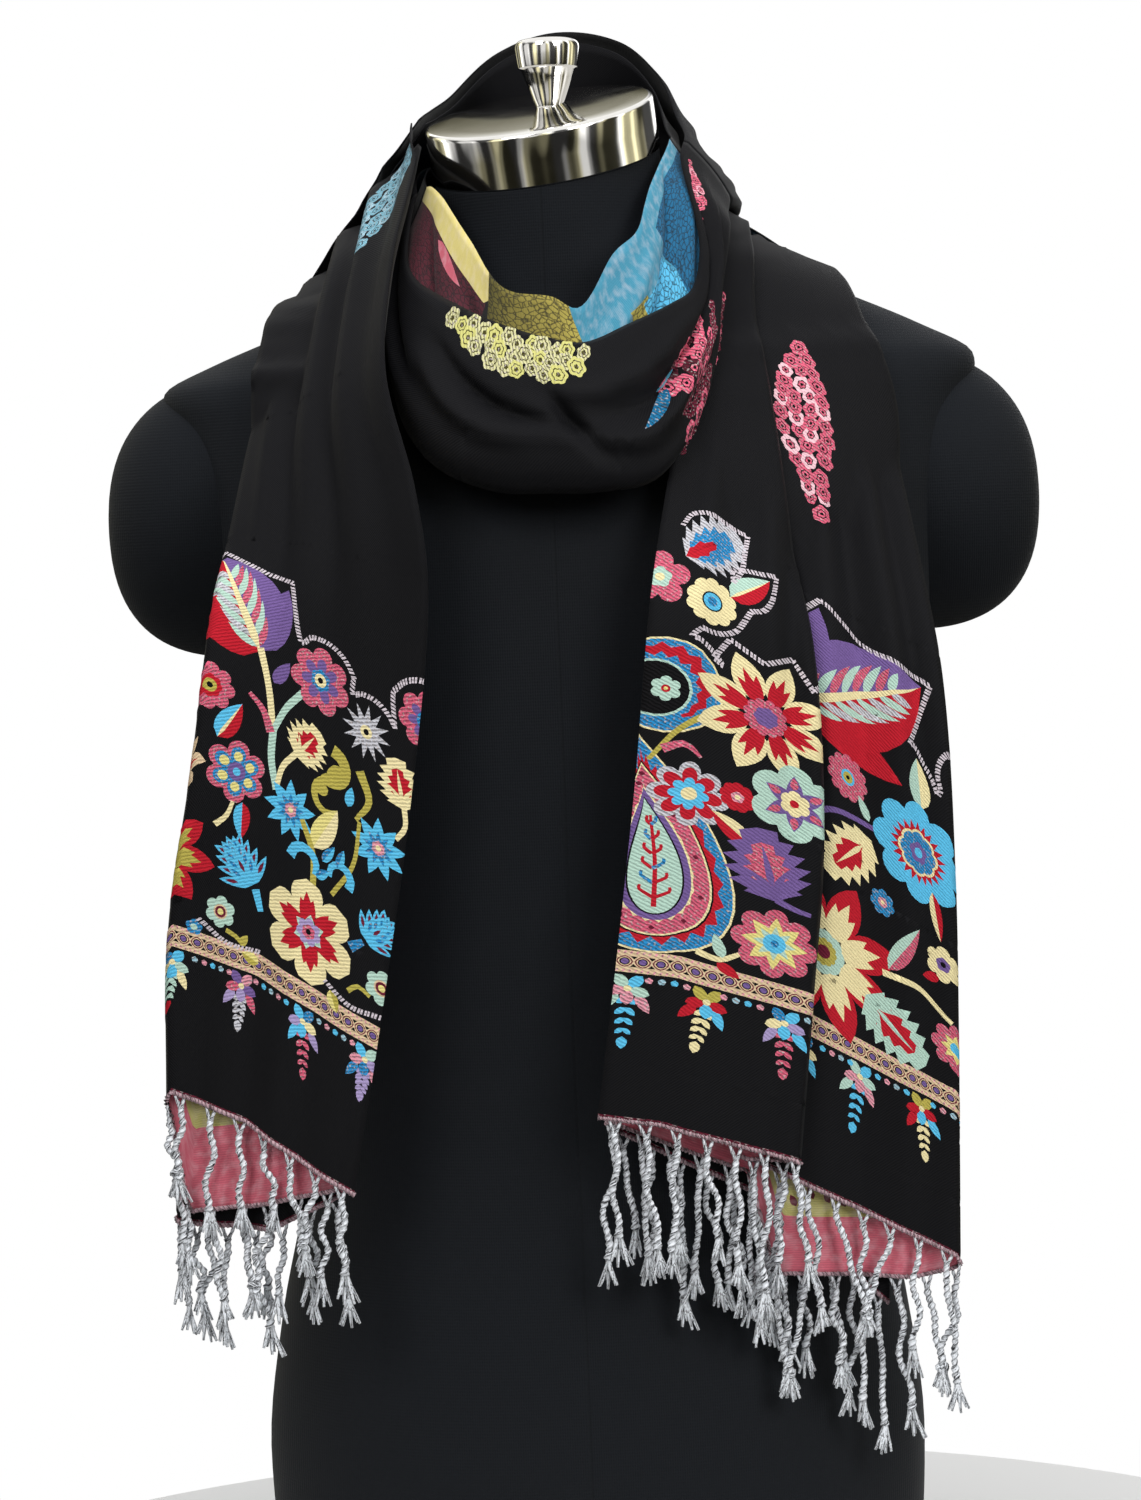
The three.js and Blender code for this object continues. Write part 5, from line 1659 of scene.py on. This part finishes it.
def strand_path(root, end, sway, k):
    """A strand's way down from its root to its end, with a slack bend of its own."""
    t = np.linspace(0, 1, max(8, round(np.linalg.norm(end - root) / STRAND_STEP)))[:, None]
    eased = 0.5 * t + 0.5 * smooth_step(t)
    path = root + (end - root) * np.concatenate([eased, eased, t], axis=1)
    path[:, 0] += (sway * np.sin(math.pi * t) * np.sin(2.6 * math.pi * t + k))[:, 0]
    path[:, 1] -= (0.9 * np.sin(math.pi * t) * (1 + np.cos(1.7 * k)))[:, 0]
    return path


def tuft(end, k, yarns=TUFT_YARNS, long=14.0):
    """The frayed end of a strand: loose yarns that spread as they fall."""
    for n in range(yarns):
        lean = math.sin(2.4 * n + 1.3 * k) * (0.34 + 0.12 * math.cos(n))
        back = 0.5 * math.cos(2.1 * n + k)
        reach = long * (0.7 + 0.4 * math.sin(1.9 * n + 2.3 * k) ** 2)
        t = np.linspace(0, 1, 6)[:, None]
        spread = 0.6 * math.sin(2.4 * n) + lean * reach * t**1.3
        fall = 1.5 - (reach + 1.5) * t
        path = end + np.concatenate([spread, back * t * 3, fall], axis=1)
        yield cord_along(path, 1.25 - 0.5 * t[:, 0] ** 2, 5, n, 60, 0.9)


def knot(at, k, radius=2.3):
    """Strands caught in a tight loop."""
    a = np.linspace(0, 2 * math.pi * 1.6, 30)
    wide = radius * (1 - 0.15 * np.cos(3 * a))
    path = at + np.stack([wide * np.cos(a + k), 1.2 * np.sin(2 * a), wide * np.sin(a + k)], axis=-1)
    return cord_along(path, 1.5 + 0 * a, 6)


def fringe(name, shape, length, joined, swing=5.0):
    """The strands along a hem. joined lists the neighbours that are caught on each other."""
    edge = shape.at(np.array([(u, 0.4) for u in np.linspace(0, shape.width, round(shape.width / 1.2))]))
    gone = distances(edge)
    count = round(gone[-1] / STRAND_PITCH)
    places = (np.arange(count) + 0.5) / count * gone[-1]
    roots = np.stack([np.interp(places, gone, edge[:, c]) for c in range(3)], axis=-1)
    k = np.arange(count)
    falls = length * (1 + 0.14 * np.sin(k * 1.7) + 0.08 * np.sin(k * 4.1))
    ends = roots + np.stack([swing * np.sin(k * 2.4), -1.0 + 0 * k, -falls], axis=-1)
    parts = []
    for group, raised in joined:
        meet = ends[list(group)].mean(axis=0) + (0, -2.0, raised)
        for n, member in enumerate(group):
            ends[member] = meet + (1.6 * math.sin(3 * n), 0.8 * n, 1.2 * n)
        parts.append(knot(meet, group[0]))
    for n, (root, end) in enumerate(zip(roots, ends)):
        root = root - (0, 0, LEG_FALL)
        path = strand_path(root, end, 2.2 + 1.4 * math.sin(3.1 * n), n)
        t = np.linspace(0, 1, len(path))
        radii = STRAND_RADIUS * (1 + 0.1 * np.sin(40 * t + n) + 0.35 * np.clip(t * 6 - 5, 0, 1))
        parts.append(cord_along(path, radii, 8, 1.1 * n))
        for side in (-1, 1):
            place = places[n] + side * (LEG_SPREAD + math.sin(2 * n + side))
            foot = [np.interp(place, gone, edge[:, c]) for c in range(3)]
            legs = np.linspace(np.array(foot), path[1], 6)
            parts.append(cord_along(legs, [1.0, 1.0, 1.1, 1.2, 1.3, 1.4], 5))
        parts += tuft(end, n)
    heading = edge + (0, -0.3, -0.8)
    strands = sum(len(some_faces) for _, some_faces, _ in parts)
    parts.append(cord_along(heading, 1.6 + 0 * heading[:, 0], 6, 0, 4.5))
    points, faces, yarns = [], [], []
    for some_points, some_faces, some_yarns in parts:
        start = sum(len(p) for p in points)
        points.append(some_points)
        faces += [tuple(start + n for n in face) for face in some_faces]
        yarns += some_yarns
    body = new_object(name, np.concatenate(points) * MM, faces)
    layer = body.data.uv_layers.new(name="yarns")
    layer.data.foreach_set("uv", np.array(yarns, np.float32).ravel())
    body.data.materials.append(mottled_yarn)
    body.data.materials.append(heading_yarn)
    body.data.polygons.foreach_set("material_index", [int(k >= strands) for k in range(len(faces))])
    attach(body, "root")
    return body


mottled_yarn = yarn_finish("mottled yarn", "edf1f6", "1b1b1f")
heading_yarn = yarn_finish("pinkish heading yarn", "c0a0a8", "4a3338")
right_fringe = fringe(
    "right_fringe_strands", right, 60, [((12, 13, 14), 6), ((17, 18), 3), ((22, 23, 24), 4)],
)
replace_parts(right_fringe, "right_fringe")
left_fringe = fringe("left_fringe_strands", left, 45, [((1, 2), 3), ((6, 7), 2), ((12, 13), 4)])
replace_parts(left_fringe, "left_fringe")


# ---- sizes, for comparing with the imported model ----
low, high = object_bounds()
{"cad": [list(cad_low), list(cad_high)], "visual": [list(low), list(high)]}
